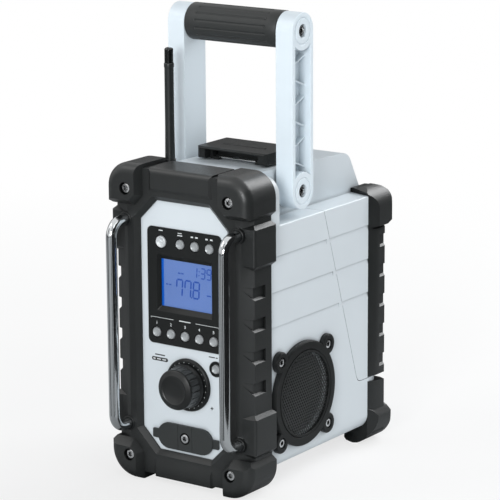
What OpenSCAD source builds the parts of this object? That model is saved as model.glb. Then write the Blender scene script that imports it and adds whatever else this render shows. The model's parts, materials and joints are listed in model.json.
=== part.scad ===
// Jobsite radio: a hollow case between two elastomer bumpers, with a folding carry
// handle, a battery door at the rear, a latch on top and a control fascia in front.
// Millimetres. +X is the right side seen from the front, +Y is the rear, +Z is up.
// The origin is under the middle of the radio, on the surface that it stands on.

/* [Overall] */
// Width over the corner pads
width = 163; // [159:1:175]
// Height of the top of the front corner pads
height = 304; // [300:1:318]
// Depth from the front of the grab bars to the rear pads
depth = 262; // [258:1:280]

/* [Front bumper] */
// Depth of the front bumper, from its pad faces to its rear edge
bumper_d = 43.5; // [40:0.5:48]
// How far the grab bars stand in front of the bumper's screw heads
bar_reach = 22; // [20:0.5:26]
// Corner radius of the top pads, seen from the front
pad_top_r = 23; // [20:0.5:25]
// Corner radius of the bottom pads, seen from the front
pad_bottom_r = 27.5; // [25:0.5:30]
// Rounding of the pad faces
pad_soft_r = 9.5; // [6:0.5:11]
// Slope width of the bevels round the pads and the blocks
bevel = 4.5; // [3:0.25:5.5]
// Half width of the window in the front bumper
window_w = 49.7; // [46:0.1:51]
// Cut corner of the window, along X and along Z
window_cut = 19.6; // [14:0.1:22]
// Distance from the bumper's outer side to its side strips
strip_in = 3.5; // [2.5:0.1:4]
// Distance between the notches in the side strips
notch_pitch = 30; // [26:0.5:32]
// Height of one notch
notch_h = 11.5; // [8:0.5:14]
// Depth of the notches
notch_d = 2.4; // [1:0.1:2.6]

/* [Housing] */
// How far the corner pads stand out from the sides of the case
side_cover = 6.5; // [5.5:0.25:8.5]
// Wall thickness of the case
wall = 3; // [2:0.1:4]
// Height of the underside of the case
base_z = 17.5; // [14:0.5:20]
// Height of the ledges beside the handle
ledge_z = 251.3; // [246:0.1:256]
// Width of the ledge on each side of the hump
shoulder_w = 25.4; // [25:0.1:29]
// Height of the flat top behind the front bumper
top_z = 296.5; // [293:0.1:297.5]
// Thickness of the front flange, behind the bumper
flange_t = 15; // [8:0.5:18]
// Width of the parting line round the battery door
seam = 0.6; // [0.4:0.1:1.2]
// Height of the parting line at the rear
seam_z = 70; // [64:0.5:76]
// Pitch of the grooves in the sides
groove_pitch = 33.2; // [30:0.1:36]
// Depth of the grooves
groove_d = 1.3; // [0.6:0.1:1.8]

/* [Handle] */
// Height of the handle's pivot
pivot_z = 274.8; // [272:0.1:277]
// Distance from the pivot to the axis of the grip
handle_reach = 149.4; // [140:0.1:160]
// Clearance between the hump and each arm
arm_clear = 2.4; // [1.9:0.1:3.4]
// Thickness of each arm
arm_t = 18.7; // [16:0.1:20]
// Width of each arm
arm_w = 34; // [30:0.5:36]
// Diameter of the grip
grip_d = 35; // [28:0.5:38]
// Diameter of the pivot bolts
pivot_d = 8; // [6:0.25:9]
// Depth of the pockets in the arms
pocket_d = 13; // [9:0.5:14]
// Thickness of the ribs in the pockets
rib_t = 1.6; // [1.2:0.1:2.4]

/* [Grab bars] */
// Diameter of the grab bars
bar_d = 10.3; // [8:0.1:11]
// Half distance between the grab bars
bar_x = 63.8; // [62.5:0.1:65]
// Bend radius of the grab bars
bar_bend = 14; // [11:0.5:14.5]
// Height of the lower ends of the grab bars
bar_low_z = 51.9; // [50:0.1:54]
// Height of the upper ends of the grab bars
bar_high_z = 249.7; // [247:0.1:252]

/* [Display and keys] */
// Half width of the display bezel
bezel_w = 42.2; // [40:0.1:43]
// Height of the bezel's lower edge
bezel_low_z = 134; // [132:0.5:138]
// Height of the bezel's upper edge
bezel_high_z = 245.5; // [243:0.5:248]
// Half width of the display opening
lcd_w = 28.9; // [26:0.1:30]
// Height of the lower edge of the display opening
lcd_low_z = 170.1; // [168:0.1:173]
// Height of the upper edge of the display opening
lcd_high_z = 215.3; // [212:0.1:218]
// Diameter of the small keys
key_d = 9.8; // [8:0.1:10.5]
// Diameter of the power key
power_d = 12; // [10:0.1:13]
// Travel of the keys
key_travel = 0.8; // [0.5:0.1:1.2]
// Distance between the preset keys
preset_pitch = 16.3; // [15:0.1:17]
// Height of the preset keys
preset_z = 144.8; // [144:0.1:147]
// Height of the power and function keys
function_z = 231.8; // [230:0.1:234]
// Height of the scan key
scan_z = 119; // [117:0.5:121]
// Gap round a key
key_gap = 0.3; // [0.2:0.05:0.4]

/* [Knob] */
// Diameter of the knob
knob_d = 38.5; // [34:0.5:40]
// Diameter of the skirt behind the knob
skirt_d = 50.5; // [44:0.5:51]
// Height of the knob's axis
knob_z = 99; // [97:0.5:101]
// Sideways place of the knob's axis
knob_x = 3; // [0:0.5:4]
// Number of flutes round the knob
knob_flutes = 24; // [16:1:30]
// Travel of the knob when it is pushed
knob_push = 1; // [0.5:0.1:1.5]
// Diameter of the knob's spindle
spindle_d = 6; // [5:0.1:7]

/* [Port cover] */
// Half length of the port cover
cover_w = 31.6; // [29:0.1:33]
// Height of the port cover's axis
cover_z = 46.5; // [45.5:0.1:47]
// Width of the port cover
cover_h = 25; // [21:0.5:26]
// Half distance between the two jacks
jack_x = 19; // [17:0.5:20]

/* [Speakers] */
// Distance from the pad faces to the speaker axis
speaker_in = 94.5; // [93:0.5:98]
// Height of the speaker axis
speaker_z = 83.4; // [82:0.1:86]
// Outer diameter of the speaker ring
ring_d = 101; // [96:0.5:102]
// Diameter of the speaker opening
ring_open_d = 82.6; // [76:0.1:84]
// Thickness of the speaker ring
ring_t = 5; // [4:0.1:5.5]
// Distance between the ring's screws
ring_screw_pitch = 77.9; // [74:0.1:79]

/* [Antenna] */
// Diameter of the antenna rod
antenna_d = 9.4; // [8:0.1:10]
// Height of the tip of the antenna
antenna_top_z = 406; // [380:1:420]
// Distance of the antenna from the middle
antenna_x = 44; // [40:0.5:45]

/* [Latch] */
// Half width of the latch lever
latch_w = 40; // [34:0.5:42]
// Length of the latch lever, front to rear
latch_len = 51; // [46:0.5:54]
// Height of the latch lever's top
latch_top_z = 308.3; // [306:0.1:311]

/* [Hidden] */
$fn = 64;
pin_fit = 0.05;      // radial clearance of a pin or shaft that turns
gap = 0.3;           // clearance between pieces that move past each other
seat = 0.1;          // clearance between pieces that are fitted together
eps = 0.01;

face_y = -depth / 2 + bar_reach;   // plane of the front screw heads
pad_y = face_y - 3.5;              // faces of the front corner pads
ring_y = face_y + 4.5;             // front face of the bumper ring
lip_y = face_y + 8.8;              // foot of the window's sloped wall
fascia_y = face_y + 10;            // front face of the fascia
fascia_t = 3;
wall_y = fascia_y + fascia_t;      // front face of the housing
bumper_rear_y = pad_y + bumper_d;
flange_y = bumper_rear_y + flange_t;
rear_y = depth / 2;                // rear faces of the rear pads
back_y = rear_y - 8;               // rear wall of the case
rear_front_y = rear_y - 34.5;      // front edge of the rear bumper
half_w = width / 2;
body_w = half_w - side_cover;      // half width of the case
hump_w = body_w - shoulder_w;      // half width of the hump between the arms
strip_w = half_w - strip_in;
ring_top_z = height - 4;
ring_low_z = 7;
window_low_z = 31;
window_high_z = height - 33.3;

// The parting line between case and door, seen from the side
seam_lean = 0.324;                 // forward lean of the line per unit of height

// Pivot of the handle, and the handle itself
pivot_y = face_y + 100;
seam_y = pivot_y + 28.8;           // the parting line at the height of the ledge
seam_foot_y = seam_y + seam_lean * (ledge_z - seam_z);
grip_z = pivot_z + handle_reach;
arm_in = hump_w + arm_clear;
arm_out = arm_in + arm_t;
arm_r = arm_w / 2;
screw_head_r = 4.75;
screw_cup_r = 6.2;
core_r = 8;

// Rear pads
rear_top_z = 257.8;
rear_low_z = 220.5;
rear_pad_r = 19.5;
hinge_y = rear_y - 3.2;
hinge_z = seam_z;
hinge_r = 3.2;
hinge_pin_r = 1.5;

// Stack behind the fascia
bezel_y = face_y + 9.2;
bezel_t = 4;
glass_y = bezel_y + bezel_t;
glass_t = 1.5;
key_y = bezel_y - 0.8;             // faces of the keys
knob_y = face_y - 13.8;            // front of the knob
skirt_t = 3.2;
board_y = face_y + 21;
board_t = 1.6;
switch_y = board_y - 1.7;
window_margin = 4;

speaker_y = pad_y + speaker_in;
speaker_x = body_w;
ring_out_x = body_w + ring_t;
mesh_x = ring_out_x - 3;
ear_r = 10;

latch_front_y = face_y + 84.5;
latch_rear_y = latch_front_y + latch_len;
latch_pin_y = latch_rear_y - 5;
latch_pin_z = latch_top_z - 6;
latch_wire_y = latch_front_y + 12.5;
latch_wire_r = 1.1;
latch_foot_z = latch_top_z - 11.4;

antenna_y = bumper_rear_y + 8.5;

// ---------- Shared shapes ----------

// Points of a polygon whose corners [x, y, radius] are rounded by arcs
function rounded(p, n = 6) = [for (i = [0:len(p) - 1])
    let (b = p[i], a = p[(i + len(p) - 1) % len(p)], c = p[(i + 1) % len(p)])
    each b[2] == 0 ? [[b[0], b[1]]] : corner_arc(a, b, c, n)];

// Arc that rounds the corner b between its neighbours a and c
function corner_arc(a, b, c, n) =
    let (u = unit(a, b), v = unit(c, b), half = acos(u * v) / 2,
        m = [u[0] + v[0], u[1] + v[1]], o = [b[0], b[1]] + m / norm(m) * b[2] / sin(half),
        s = [b[0], b[1]] + u * b[2] / tan(half) - o, e = [b[0], b[1]] + v * b[2] / tan(half) - o,
        s_a = atan2(s[1], s[0]), turn = (atan2(e[1], e[0]) - s_a + 540) % 360 - 180)
    [for (k = [0:n]) o + b[2] * [cos(s_a + turn * k / n), sin(s_a + turn * k / n)]];

function unit(a, b) = let (d = [a[0] - b[0], a[1] - b[1]]) d / norm(d);

// Extrusions of a flat outline along Y, X and Z
module along_y(y0, y1) translate([0, y1, 0]) rotate([90, 0, 0]) linear_extrude(y1 - y0) children();
module along_x(x0, x1) translate([x0, 0, 0]) rotate([90, 0, 90]) linear_extrude(x1 - x0) children();
module along_z(z0, z1) translate([0, 0, z0]) linear_extrude(z1 - z0) children();

// The same thing on both sides
module both_sides() {
    children();
    mirror([1, 0, 0]) children();
}

// A round rod from one place along +X, +Y or +Z
module rod_x(x0, x1, r, y, z) translate([x0, y, z]) rotate([0, 90, 0]) cylinder(r = r, h = x1 - x0);
module rod_y(y0, y1, r, x, z) translate([x, y0, z]) rotate([-90, 0, 0]) cylinder(r = r, h = y1 - y0);

// Everything on the outer side of a plane through p with the outward normal n
module beyond(p, n) translate(p) rotate([0, acos(n[2] / norm(n)), atan2(n[1], n[0])])
    translate([-500, -500, 0]) cube([1000, 1000, 300]);

// Rectangle from x0, y0 to x1, y1 with rounded corners
module soft_rect(x0, y0, x1, y1, r) polygon(rounded([[x0, y0, r], [x1, y0, r], [x1, y1, r], [x0, y1, r]]));

// Socket head screw whose head lies at y = 0 and faces -Y
module socket_screw(head_r, head_h, shank_r, length) difference() {
    union() {
        rod_y(0, head_h, head_r, 0, 0);
        rod_y(head_h, head_h + length, shank_r, 0, 0);
    }
    translate([0, -eps, 0]) rotate([-90, 30, 0]) cylinder(r = head_r * 0.55, h = head_h * 0.6, $fn = 6);
}

// ---------- Front bumper ----------

// Window outline, m wider on every side
module window_outline(m) {
    w = window_w + m;
    c = window_cut + m * 0.586;
    lo = window_low_z - m;
    hi = window_high_z + m;
    polygon([[-w, lo + c], [-w + c, lo], [w - c, lo], [w, lo + c],
        [w, hi - c], [w - c, hi], [-w + c, hi], [-w, hi - c]]);
}

// Outline of the bumper's ring, seen from the front
module ring_outline() polygon(rounded([
    [-strip_w, ring_low_z, 22], [strip_w, ring_low_z, 22],
    [strip_w, ring_top_z, 19.5], [-strip_w, ring_top_z, 19.5]], 10));

// A slab with its outer corner at the top right, rounded by r seen from the front,
// and with its outer front edge rounded by q; its outer sides are x = half_w and z = 0
module corner_slab(r, q, x_in, down) {
    d = bumper_d;
    translate([half_w - r, 0, -r]) rotate([-90, 0, 0]) rotate_extrude($fn = 96) {
        translate([0, q]) square([r, d - q]);
        square([r - q, d]);
        intersection() {
            translate([r - q, q]) circle(q);
            square([r, d]);
        }
    }
    along_x(x_in, half_w - r) edge_profile(r, q, d);
    translate([half_w - r, 0, -r]) mirror([0, 0, 1]) linear_extrude(down - r) side_profile(r, q, d);
    translate([x_in, 0, -down]) cube([half_w - r - x_in + eps, d, down - r + eps]);
}

// Section of the slab's top edge: depth along X, height along Y, outer side at height 0
module edge_profile(r, q, d) {
    translate([q, -r - eps]) square([d - q, r + eps]);
    translate([0, -r - eps]) square([d, r - q + eps]);
    intersection() {
        translate([q, -q]) circle(q);
        translate([0, -r]) square([d, r]);
    }
}

// Section of the slab's outer side, below its round corner
module side_profile(r, q, d) {
    translate([0, q]) square([r, d - q]);
    square([r - q, d]);
    translate([r - q, q]) circle(q);
}

// Corner pad in the top right corner, its outer sides at x = half_w and z = 0. Its inner
// edge runs down x_in to v_cut, cuts across to x_cut at v_low, and then runs outwards.
// Its lower edges are bevelled over a height of edge.
module corner_pad(r, x_in, v_cut, x_cut, v_low, edge) {
    rise = ring_y - pad_y;
    cut_n = [v_cut - v_low, x_in - x_cut];
    cut_u = cut_n / norm(cut_n);
    difference() {
        intersection() {
            translate([0, pad_y, 0]) corner_slab(r, pad_soft_r, x_in - 1, v_low + 1);
            along_y(pad_y - 1, bumper_rear_y) polygon([[x_in, 1], [x_in, -v_cut],
                [x_cut, -v_low], [half_w + 1, -v_low], [half_w + 1, 1]]);
        }
        beyond([x_in, ring_y, 0], [-rise, -bevel, 0]);
        beyond([x_in, ring_y, -v_cut], [cut_u[0] * rise, -bevel, cut_u[1] * rise]);
        beyond([x_cut, ring_y, -v_low], [0, -1.25 * edge, -rise]);
        beyond([strip_w - 0.3, 0, -v_low], [edge, 0, strip_w - half_w - 0.3]);
        beyond([0, bumper_rear_y, edge - v_low - 0.6], [0, edge, -3]);
    }
}

module top_pads() both_sides() translate([0, 0, height]) corner_pad(pad_top_r, 43, 30, 52.9, 39.7, 4.2);
module bottom_pads() both_sides() mirror([0, 0, 1]) corner_pad(pad_bottom_r, 46.1, 26.9, 57.3, 38.2, 5.6);

// Block in the middle of the top edge
module top_block() {
    w = 35.5;
    face = face_y + 2.6;
    low = height - 24.5;
    difference() {
        along_x(-w, w) polygon(rounded([[face, low, 0], [bumper_rear_y, low, 0],
            [bumper_rear_y, height - 2, 0], [face, height - 2.4, 5]]));
        both_sides() beyond([w, ring_y, 0], [ring_y - face + 1, -3.9, 0]);
        both_sides() beyond([w, ring_y, height - 2], [3, -2, 3]);
        beyond([0, ring_y, low], [0, -3.3, -(ring_y - face)]);
    }
}

// Block in the middle of the bottom edge
module bottom_block() {
    w = 33;
    face = face_y + 3;
    high = 22.2;
    difference() {
        along_x(-w, w) polygon(rounded([[face, 4.8, 1.5], [bumper_rear_y, 4.8, 0],
            [bumper_rear_y, high, 0], [face, high, 0]]));
        both_sides() beyond([w, ring_y, 0], [ring_y - face + 1, -2.7, 0]);
        beyond([0, ring_y, high], [0, -5.3, ring_y - face]);
    }
}

// Post beside the end of a grab bar: its outer face runs from z0 to z1, its bevels beyond them
module bar_post(z0, z1) difference() {
    face = face_y + 6.5;
    along_z(z0 - 4, z1 + 4.4) polygon(rounded([[62.4, face, 1], [half_w, face, 2.5],
        [half_w, bumper_rear_y, 0], [62.4, bumper_rear_y, 0]], 4));
    beyond([half_w, 0, z1], [1, 0, 1]);
    beyond([half_w, 0, z0], [1, 0, -1]);
    beyond([0, face, z1], [0, -1, 1]);
    beyond([0, face, z0], [0, -1, -1]);
    beyond([0, bumper_rear_y, z1 + 0.5], [0, 3.5, 2.8]);
    beyond([0, bumper_rear_y, z0 - 0.5], [0, 3.5, -2.8]);
}

// Notches in one side strip: their plan is drawn by the child, and their floors slope
module strip_notches(top_z, count) for (i = [0:count - 1]) {
    z1 = top_z - i * notch_pitch;
    difference() {
        along_z(z1 - notch_h - 0.7, z1) children();
        beyond([strip_w - notch_d, 0, z1 - notch_h + 1.3], [-2, 0, -notch_d]);
    }
}

module bumper_screw_places() both_sides() for (z = [23.5, height - 23.5])
    translate([58.3, face_y, z]) children();

module front_bumper() color("#343636") difference() {
    union() {
        difference() {
            along_y(ring_y, bumper_rear_y) ring_outline();
            both_sides() beyond([61.5, ring_y, 0], [6.4, -16.5, 0]);
            both_sides() translate([body_w - 1, bumper_rear_y - 2.5, pad_bottom_r])
                cube([10, 10, height - pad_top_r - pad_bottom_r]);
            both_sides() strip_notches(202, 4) polygon([[66.5, face_y + 6.4],
                [strip_w - notch_d, face_y + 11.5], [strip_w - notch_d, bumper_rear_y - 12.2],
                [half_w + 5, bumper_rear_y - 12.2], [half_w + 5, face_y], [66.5, face_y]]);
        }
        top_pads();
        bottom_pads();
        top_block();
        bottom_block();
        both_sides() bar_post(bar_high_z - 27.8, bar_high_z + 6.5);
        both_sides() bar_post(bar_low_z - 7.8, bar_low_z + 26.1);
    }
    // sloped wall of the window
    hull() {
        along_y(ring_y - eps, ring_y) window_outline(4.5);
        along_y(lip_y - eps, lip_y) window_outline(0);
    }
    along_y(pad_y - 1, ring_y) window_outline(4.5);
    along_y(lip_y - eps, bumper_rear_y + 1) window_outline(0);
    // room for the fascia and the case
    along_y(fascia_y - seat, wall_y + eps) window_outline(window_margin + seat);
    along_y(wall_y - seat, bumper_rear_y + 1) flange_outline(-seat);
    bumper_screw_places() {
        rod_y(-10, 4 + seat, 5.9, 0, 0);
        rod_y(0, 20, 2.2, 0, 0);
    }
    both_sides() for (z = [bar_low_z, bar_high_z])
        rod_y(pad_y - 1, wall_y, 7, bar_x, z);
}

module front_screws() color("#9ea3a6") {
    bumper_screw_places() socket_screw(screw_head_r - 0.7, 4, 2, 18);
    translate([0, fascia_y - 3.4, cover_z]) socket_screw(screw_head_r - 0.5, 2, 2, 8);
}

// ---------- Grab bars ----------

module grab_bar() {
    axis_y = -depth / 2 + bar_d / 2;
    translate([bar_x, axis_y, 0]) {
        translate([0, 0, bar_low_z + bar_bend])
            cylinder(d = bar_d, h = bar_high_z - bar_low_z - 2 * bar_bend);
        translate([0, bar_bend, bar_high_z - bar_bend]) rotate([0, 90, 0]) rotate([0, 0, 180])
            rotate_extrude(angle = 90, $fn = 96) translate([bar_bend, 0]) circle(d = bar_d);
        translate([0, bar_bend, bar_low_z + bar_bend]) rotate([0, 90, 0]) rotate([0, 0, 270])
            rotate_extrude(angle = 90, $fn = 96) translate([bar_bend, 0]) circle(d = bar_d);
    }
    for (z = [bar_low_z, bar_high_z])
        rod_y(axis_y + bar_bend, wall_y - 1.5, bar_d / 2, bar_x, z);
}

module grab_bar_right() color("#c9ccce") grab_bar();
module grab_bar_left() color("#c9ccce") mirror([1, 0, 0]) grab_bar();

module bar_collars() color("#242626") both_sides() for (z = [bar_low_z, bar_high_z])
    translate([bar_x, face_y + 3.8, z]) rotate([-90, 0, 0]) rotate_extrude()
        polygon(rounded([[bar_d / 2 + pin_fit, 0, 0], [7 - pin_fit, 0, 1.2],
            [7 - pin_fit, 8, 0], [bar_d / 2 + pin_fit, 8, 0]]));

// ---------- Case ----------

// Outline of the full section at the front, i smaller on every side
module flange_outline(i) polygon(rounded([
    [-body_w + i, base_z + i, 15 - i], [body_w - i, base_z + i, 15 - i],
    [body_w - i, top_z - i, 17 - i], [-body_w + i, top_z - i, 17 - i]], 10));

// Outer form of case and door together, i smaller on every side
module envelope(i) {
    along_y(wall_y + i, flange_y - i) flange_outline(i);
    intersection() {
        union() {
            along_y(wall_y + i, back_y - i) polygon(rounded([
                [-body_w + i, base_z + i, 15 - i], [body_w - i, base_z + i, 15 - i],
                [body_w - i, ledge_z - i, 1.2], [-body_w + i, ledge_z - i, 1.2]], 10));
            along_y(wall_y + i, back_y - i) polygon(rounded([
                [-hump_w + i, ledge_z - 40, 0], [hump_w - i, ledge_z - 40, 0],
                [hump_w - i, top_z + 2, 8], [-hump_w + i, top_z + 2, 8]]));
        }
        side_form(i);
        along_z(0, top_z + 5) polygon(rounded([[-body_w - 1, wall_y, 0], [body_w + 1, wall_y, 0],
            [body_w - i, back_y - i, 21 - i], [-body_w + i, back_y - i, 21 - i]], 10));
    }
}

// Limits of the case seen from the side: sloping top, rounded rear of the hump, rear foot
module side_form(i) {
    corner_y = back_y - 23.4;
    along_x(-body_w, body_w) polygon(rounded([
        [wall_y, base_z + i, 0], [back_y - i, base_z + i, 25 - i], [back_y - i, ledge_z - i - 3, 0],
        [corner_y + 21.5 - i * 1.1, ledge_z - i, 0], [corner_y - i * 1.1, top_z - 5.2 - i, 17],
        [flange_y, top_z - i, 0], [wall_y, top_z - i, 0]], 8));
}

// Room of the battery door, grown by g over the parting line
module door_zone(g) {
    low = seam_z - g;
    up = 320;
    front = seam_y - g / cos(18);
    along_x(-body_w - 5, body_w + 5) polygon(rounded([
        [front - seam_lean * (up - ledge_z), up, 0], [front + seam_lean * (ledge_z - low), low, 9],
        [rear_y + 20, low, 0], [rear_y + 20, up, 0]]));
}

// Grooves along both sides, from y0 to short of the parting line, or from it to y0
module side_grooves(y0, short) both_sides() for (i = [0:2])
    along_y(min(y0, groove_end(i) - short), max(y0, groove_end(i) - short)) polygon([
        [body_w + 2, 156.7 + i * groove_pitch], [body_w - groove_d, 156.7 + i * groove_pitch],
        [body_w + eps, 151.4 + i * groove_pitch], [body_w + 2, 151.4 + i * groove_pitch]]);

function groove_end(i) = seam_y + seam_lean * (ledge_z - 151.4 - i * groove_pitch);

module speaker_places() both_sides() translate([body_w, speaker_y, speaker_z]) rotate([0, 0, -90])
    children();

module case_openings() {
    // behind the display and the keys
    along_y(wall_y - 1, wall_y + wall + 1) soft_rect(-bezel_w - 6, bezel_low_z - 30,
        bezel_w + 6, bezel_high_z + 8, 3);
    // behind the knob and the jacks
    along_y(wall_y - 1, wall_y + wall + 1) soft_rect(-34, cover_z - 16, 34, bezel_low_z - 20, 3);
    // speakers
    speaker_places() {
        rod_y(-wall - 1, 1, ring_open_d / 2 - 1.8, 0, 0);
        for (a = [45:90:315]) rotate([0, a, 0])
            rod_y(-wall - 1, 1, 1.8, ring_screw_pitch / sqrt(2), 0);
    }
    // bumper screws and bar ends
    bumper_screw_places() rod_y(0, 24, 2.2, 0, 0);
    both_sides() rod_x(hump_w - wall - 4.2, hump_w + 6, pivot_d / 2, pivot_y, pivot_z);
    // antenna
    translate([-antenna_x, antenna_y, top_z - wall - 1]) cylinder(r = 3, h = wall + 2);
}

module main_housing() color("#dde5ea") difference() {
    union() {
        difference() {
            envelope(0);
            door_zone(seam / 2);
            difference() {
                envelope(wall);
                door_zone(seam / 2 + wall);
            }
        }
        // bosses that carry the pivot bolts
        both_sides() rod_x(hump_w - wall - 5, arm_in - gap, 13, pivot_y, pivot_z);
        // bosses for the bumper screws
        bumper_screw_places() rod_y(wall_y - face_y, 26, 5, 0, 0);
        // feet for the amplifier board
        for (x = [-40, 40], y = [0, 80]) translate([x, speaker_y - 40 + y, base_z + wall - 1])
            cylinder(r = 3, h = 11);
        // knuckles of the door hinge
        for (x = [-42, 0, 42]) hinge_knuckle(x, 7, -1);
        // front ribs inside the ledge corners
        both_sides() along_z(ledge_z - 1, ledge_z + 5) polygon([[hump_w - 1, flange_y - 1],
            [body_w - 1.2, flange_y - 1], [hump_w - 1, flange_y + 5]]);
    }
    case_openings();
    side_grooves(bumper_rear_y - 1, 6);
    hinge_bore();
    // the handle's arms pass beside the hump
    both_sides() rod_x(arm_in - gap, body_w + 1, arm_r + 1, pivot_y, pivot_z);
}

// ---------- Door hinge ----------

// Knuckle round the hinge axis; side is -1 below and 1 above the parting line
module hinge_knuckle(x, half, side) {
    rod_x(x - half, x + half, hinge_r, hinge_y, hinge_z);
    foot = hinge_r * 2.6;
    along_x(x - half, x + half) polygon([[hinge_y - hinge_r * 0.7, hinge_z + side * hinge_r * 0.7],
        [hinge_y + hinge_r * 0.7, hinge_z + side * hinge_r * 0.7],
        [hinge_y + hinge_r * 0.4, hinge_z + side * foot],
        [back_y - wall / 2, hinge_z + side * (foot + 2)], [back_y - wall / 2, hinge_z + side * foot / 2]]);
}

module hinge_bore() rod_x(-60, 60, hinge_pin_r + pin_fit, hinge_y, hinge_z);

module door_hinge_pin() color("#9ea3a6") rod_x(-50, 50, hinge_pin_r, hinge_y, hinge_z);

// ---------- Rear bumper ----------

// Plan of a side strip, on the right
module rear_strip_plan() polygon([[body_w - 17, rear_front_y], [body_w, rear_front_y],
    [strip_w, rear_front_y + 9.5], [strip_w, rear_y - 9], [strip_w - 8, rear_y - 4],
    [body_w - 24, rear_y - 4], [body_w - 24, rear_front_y + 20]]);

// Front faces of the pads: they lean back from the case to the outer skin
module rear_pad_front() {
    beyond([body_w, rear_front_y, 0], [-7, -25, 0]);
    beyond([body_w, rear_front_y, 0], [10.5, -6.5, 0]);
    beyond([half_w, rear_y - 1.5, 0], [1, 1, 0]);
}

// Both halves of the rear bumper in one piece
module rear_bumper() difference() {
    union() {
        both_sides() difference() {
            along_z(12, rear_top_z - 12) rear_strip_plan();
            strip_notches(210.6, 5) translate([strip_w - notch_d, rear_y - 18]) square([10, 30]);
            along_y(rear_front_y - 1, rear_y + 1) polygon([[body_w + 1, rear_low_z - 2],
                [half_w + 1, rear_low_z - 5], [half_w + 1, rear_low_z + 1]]);
        }
        both_sides() rear_top_pad();
        both_sides() rear_low_pad();
        // cross bars
        along_y(back_y - 12, rear_y - 4.5) soft_rect(-body_w + 18, rear_top_z - 22, body_w - 18, rear_top_z - 5, 2);
        along_y(back_y - 20, rear_y - 4.5) soft_rect(-body_w + 18, ring_low_z, body_w - 18, 30, 2);
        along_y(back_y - 20, rear_y - 2.5) soft_rect(-31, 4.8, 31, 24, 2);
    }
    envelope(-seat);
}

// Upper rear pad, on the right, with its tongue on the ledge
module rear_top_pad() difference() {
    along_y(rear_front_y - 8, rear_y) polygon(rounded([[hump_w + 0.4, rear_low_z, 0], [half_w, rear_low_z, 0],
        [half_w, rear_top_z, rear_pad_r], [half_w - 21.5, rear_top_z, 4],
        [half_w - 24.5, ledge_z + 4.8, 2],
        [hump_w + 0.4, ledge_z + 4.4, 1]], 10));
    rear_pad_front();
    beyond([0, rear_front_y + 3.5, ledge_z + 3.9], [0, -2.6, 7]);
    beyond([0, rear_y, rear_low_z + 3.5], [0, 3.5, -9]);
    beyond([0, rear_y - 8, rear_top_z], [0, 3, 8]);
    beyond([0, rear_y, rear_top_z - 5.5], [0, 1, 1]);
}

// Lower rear pad, on the right
module rear_low_pad() difference() {
    along_y(rear_front_y, rear_y) polygon(rounded([[half_w - 38.5, 2.4, 0], [half_w - 35.4, 0, 2],
        [half_w, 0, pad_bottom_r],
        [half_w, 29.8, 0], [strip_w, 35.5, 0], [strip_w - 3, 38, 0], [half_w - 31.5, 38, 3]], 10));
    beyond([half_w - 21.5, rear_front_y, 0], [-7, -16, 0]);
    beyond([body_w, rear_front_y, 0], [10.5, -6.5, 0]);
    beyond([half_w, rear_y - 1.5, 0], [1, 1, 0]);
    beyond([0, rear_front_y + 1.8, 0], [0, -1, -1]);
    beyond([0, rear_y - 0.7, 29.8], [0, 5.7, 2.7]);
    beyond([0, rear_y, 2.5], [0, 1, -1]);
}

module rear_bumper_lower() color("#343636") difference() {
    rear_bumper();
    beyond([0, rear_front_y, seam_z - 3.8], [0, 2.7, 25.5]);
}

module rear_bumper_upper() color("#343636") intersection() {
    rear_bumper();
    translate([-100, 0, seam_z + 0.8]) cube([200, 200, 300]);
}

module door_shell() color("#dde5ea") difference() {
    union() {
        difference() {
            intersection() {
                envelope(0);
                door_zone(-seam / 2);
            }
            intersection() {
                envelope(wall);
                door_zone(20);
            }
        }
        for (x = [-21, 21]) hinge_knuckle(x, 13, 1);
        // ears for the latch pin
        for (x = [-latch_w + 9, latch_w - 9]) along_x(x - 3, x + 3) polygon(rounded([
            [latch_pin_y - 3, top_z - 8, 0], [latch_pin_y + 3, top_z - 8, 0],
            [latch_pin_y + 3, latch_pin_z + 3, 2.99], [latch_pin_y - 3, latch_pin_z + 3, 2.99]]));
    }
    side_grooves(rear_y, 4);
    hinge_bore();
    rod_x(-60, 60, 1.5 + pin_fit, latch_pin_y, latch_pin_z);
}

module door_seal() color("#1d1f1f") intersection() {
    difference() {
        envelope(wall + 0.05);
        envelope(wall + 2);
    }
    difference() {
        door_zone(-seam / 2 - 0.4);
        door_zone(-seam / 2 - 3.4);
    }
}

// ---------- Fascia ----------

module front_fascia() color("#dde5ea") difference() {
    union() {
        along_y(fascia_y, fascia_y + fascia_t - seat) window_outline(window_margin);
        for (x = [-bezel_w - 3, bezel_w + 3], z = [bezel_low_z - 4, bezel_high_z + 4])
            rod_y(fascia_y + fascia_t - seat, board_y, 2.4, x, z);
    }
    along_y(fascia_y - 1, wall_y + 1) soft_rect(-bezel_w - seat, bezel_low_z - seat,
        bezel_w + seat, bezel_high_z + seat, 5);
    rod_y(fascia_y - 1, wall_y + 1, 7.5, 34.7, scan_z);
    rod_y(fascia_y - 1, wall_y + 1, 6, knob_x, knob_z);
    for (x = [-jack_x, jack_x]) rod_y(fascia_y - 1, wall_y + 1, 6, x, cover_z);
    rod_y(fascia_y - 1, wall_y + 1, 2.1, 0, cover_z);
}

module display_bezel() color("#2b2d2d") difference() {
    along_y(bezel_y, bezel_y + bezel_t) soft_rect(-bezel_w, bezel_low_z, bezel_w, bezel_high_z, 5);
    along_y(bezel_y - 1, glass_y + 1) soft_rect(-lcd_w, lcd_low_z, lcd_w, lcd_high_z, 0.6);
    hull() {
        along_y(bezel_y - eps, bezel_y) soft_rect(-lcd_w - 2.6, lcd_low_z - 4.5, lcd_w + 2.6, lcd_high_z + 4.2, 1);
        along_y(glass_y - 1, glass_y - 0.9) soft_rect(-lcd_w, lcd_low_z, lcd_w, lcd_high_z, 0.6);
    }
    key_holes();
}

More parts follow.
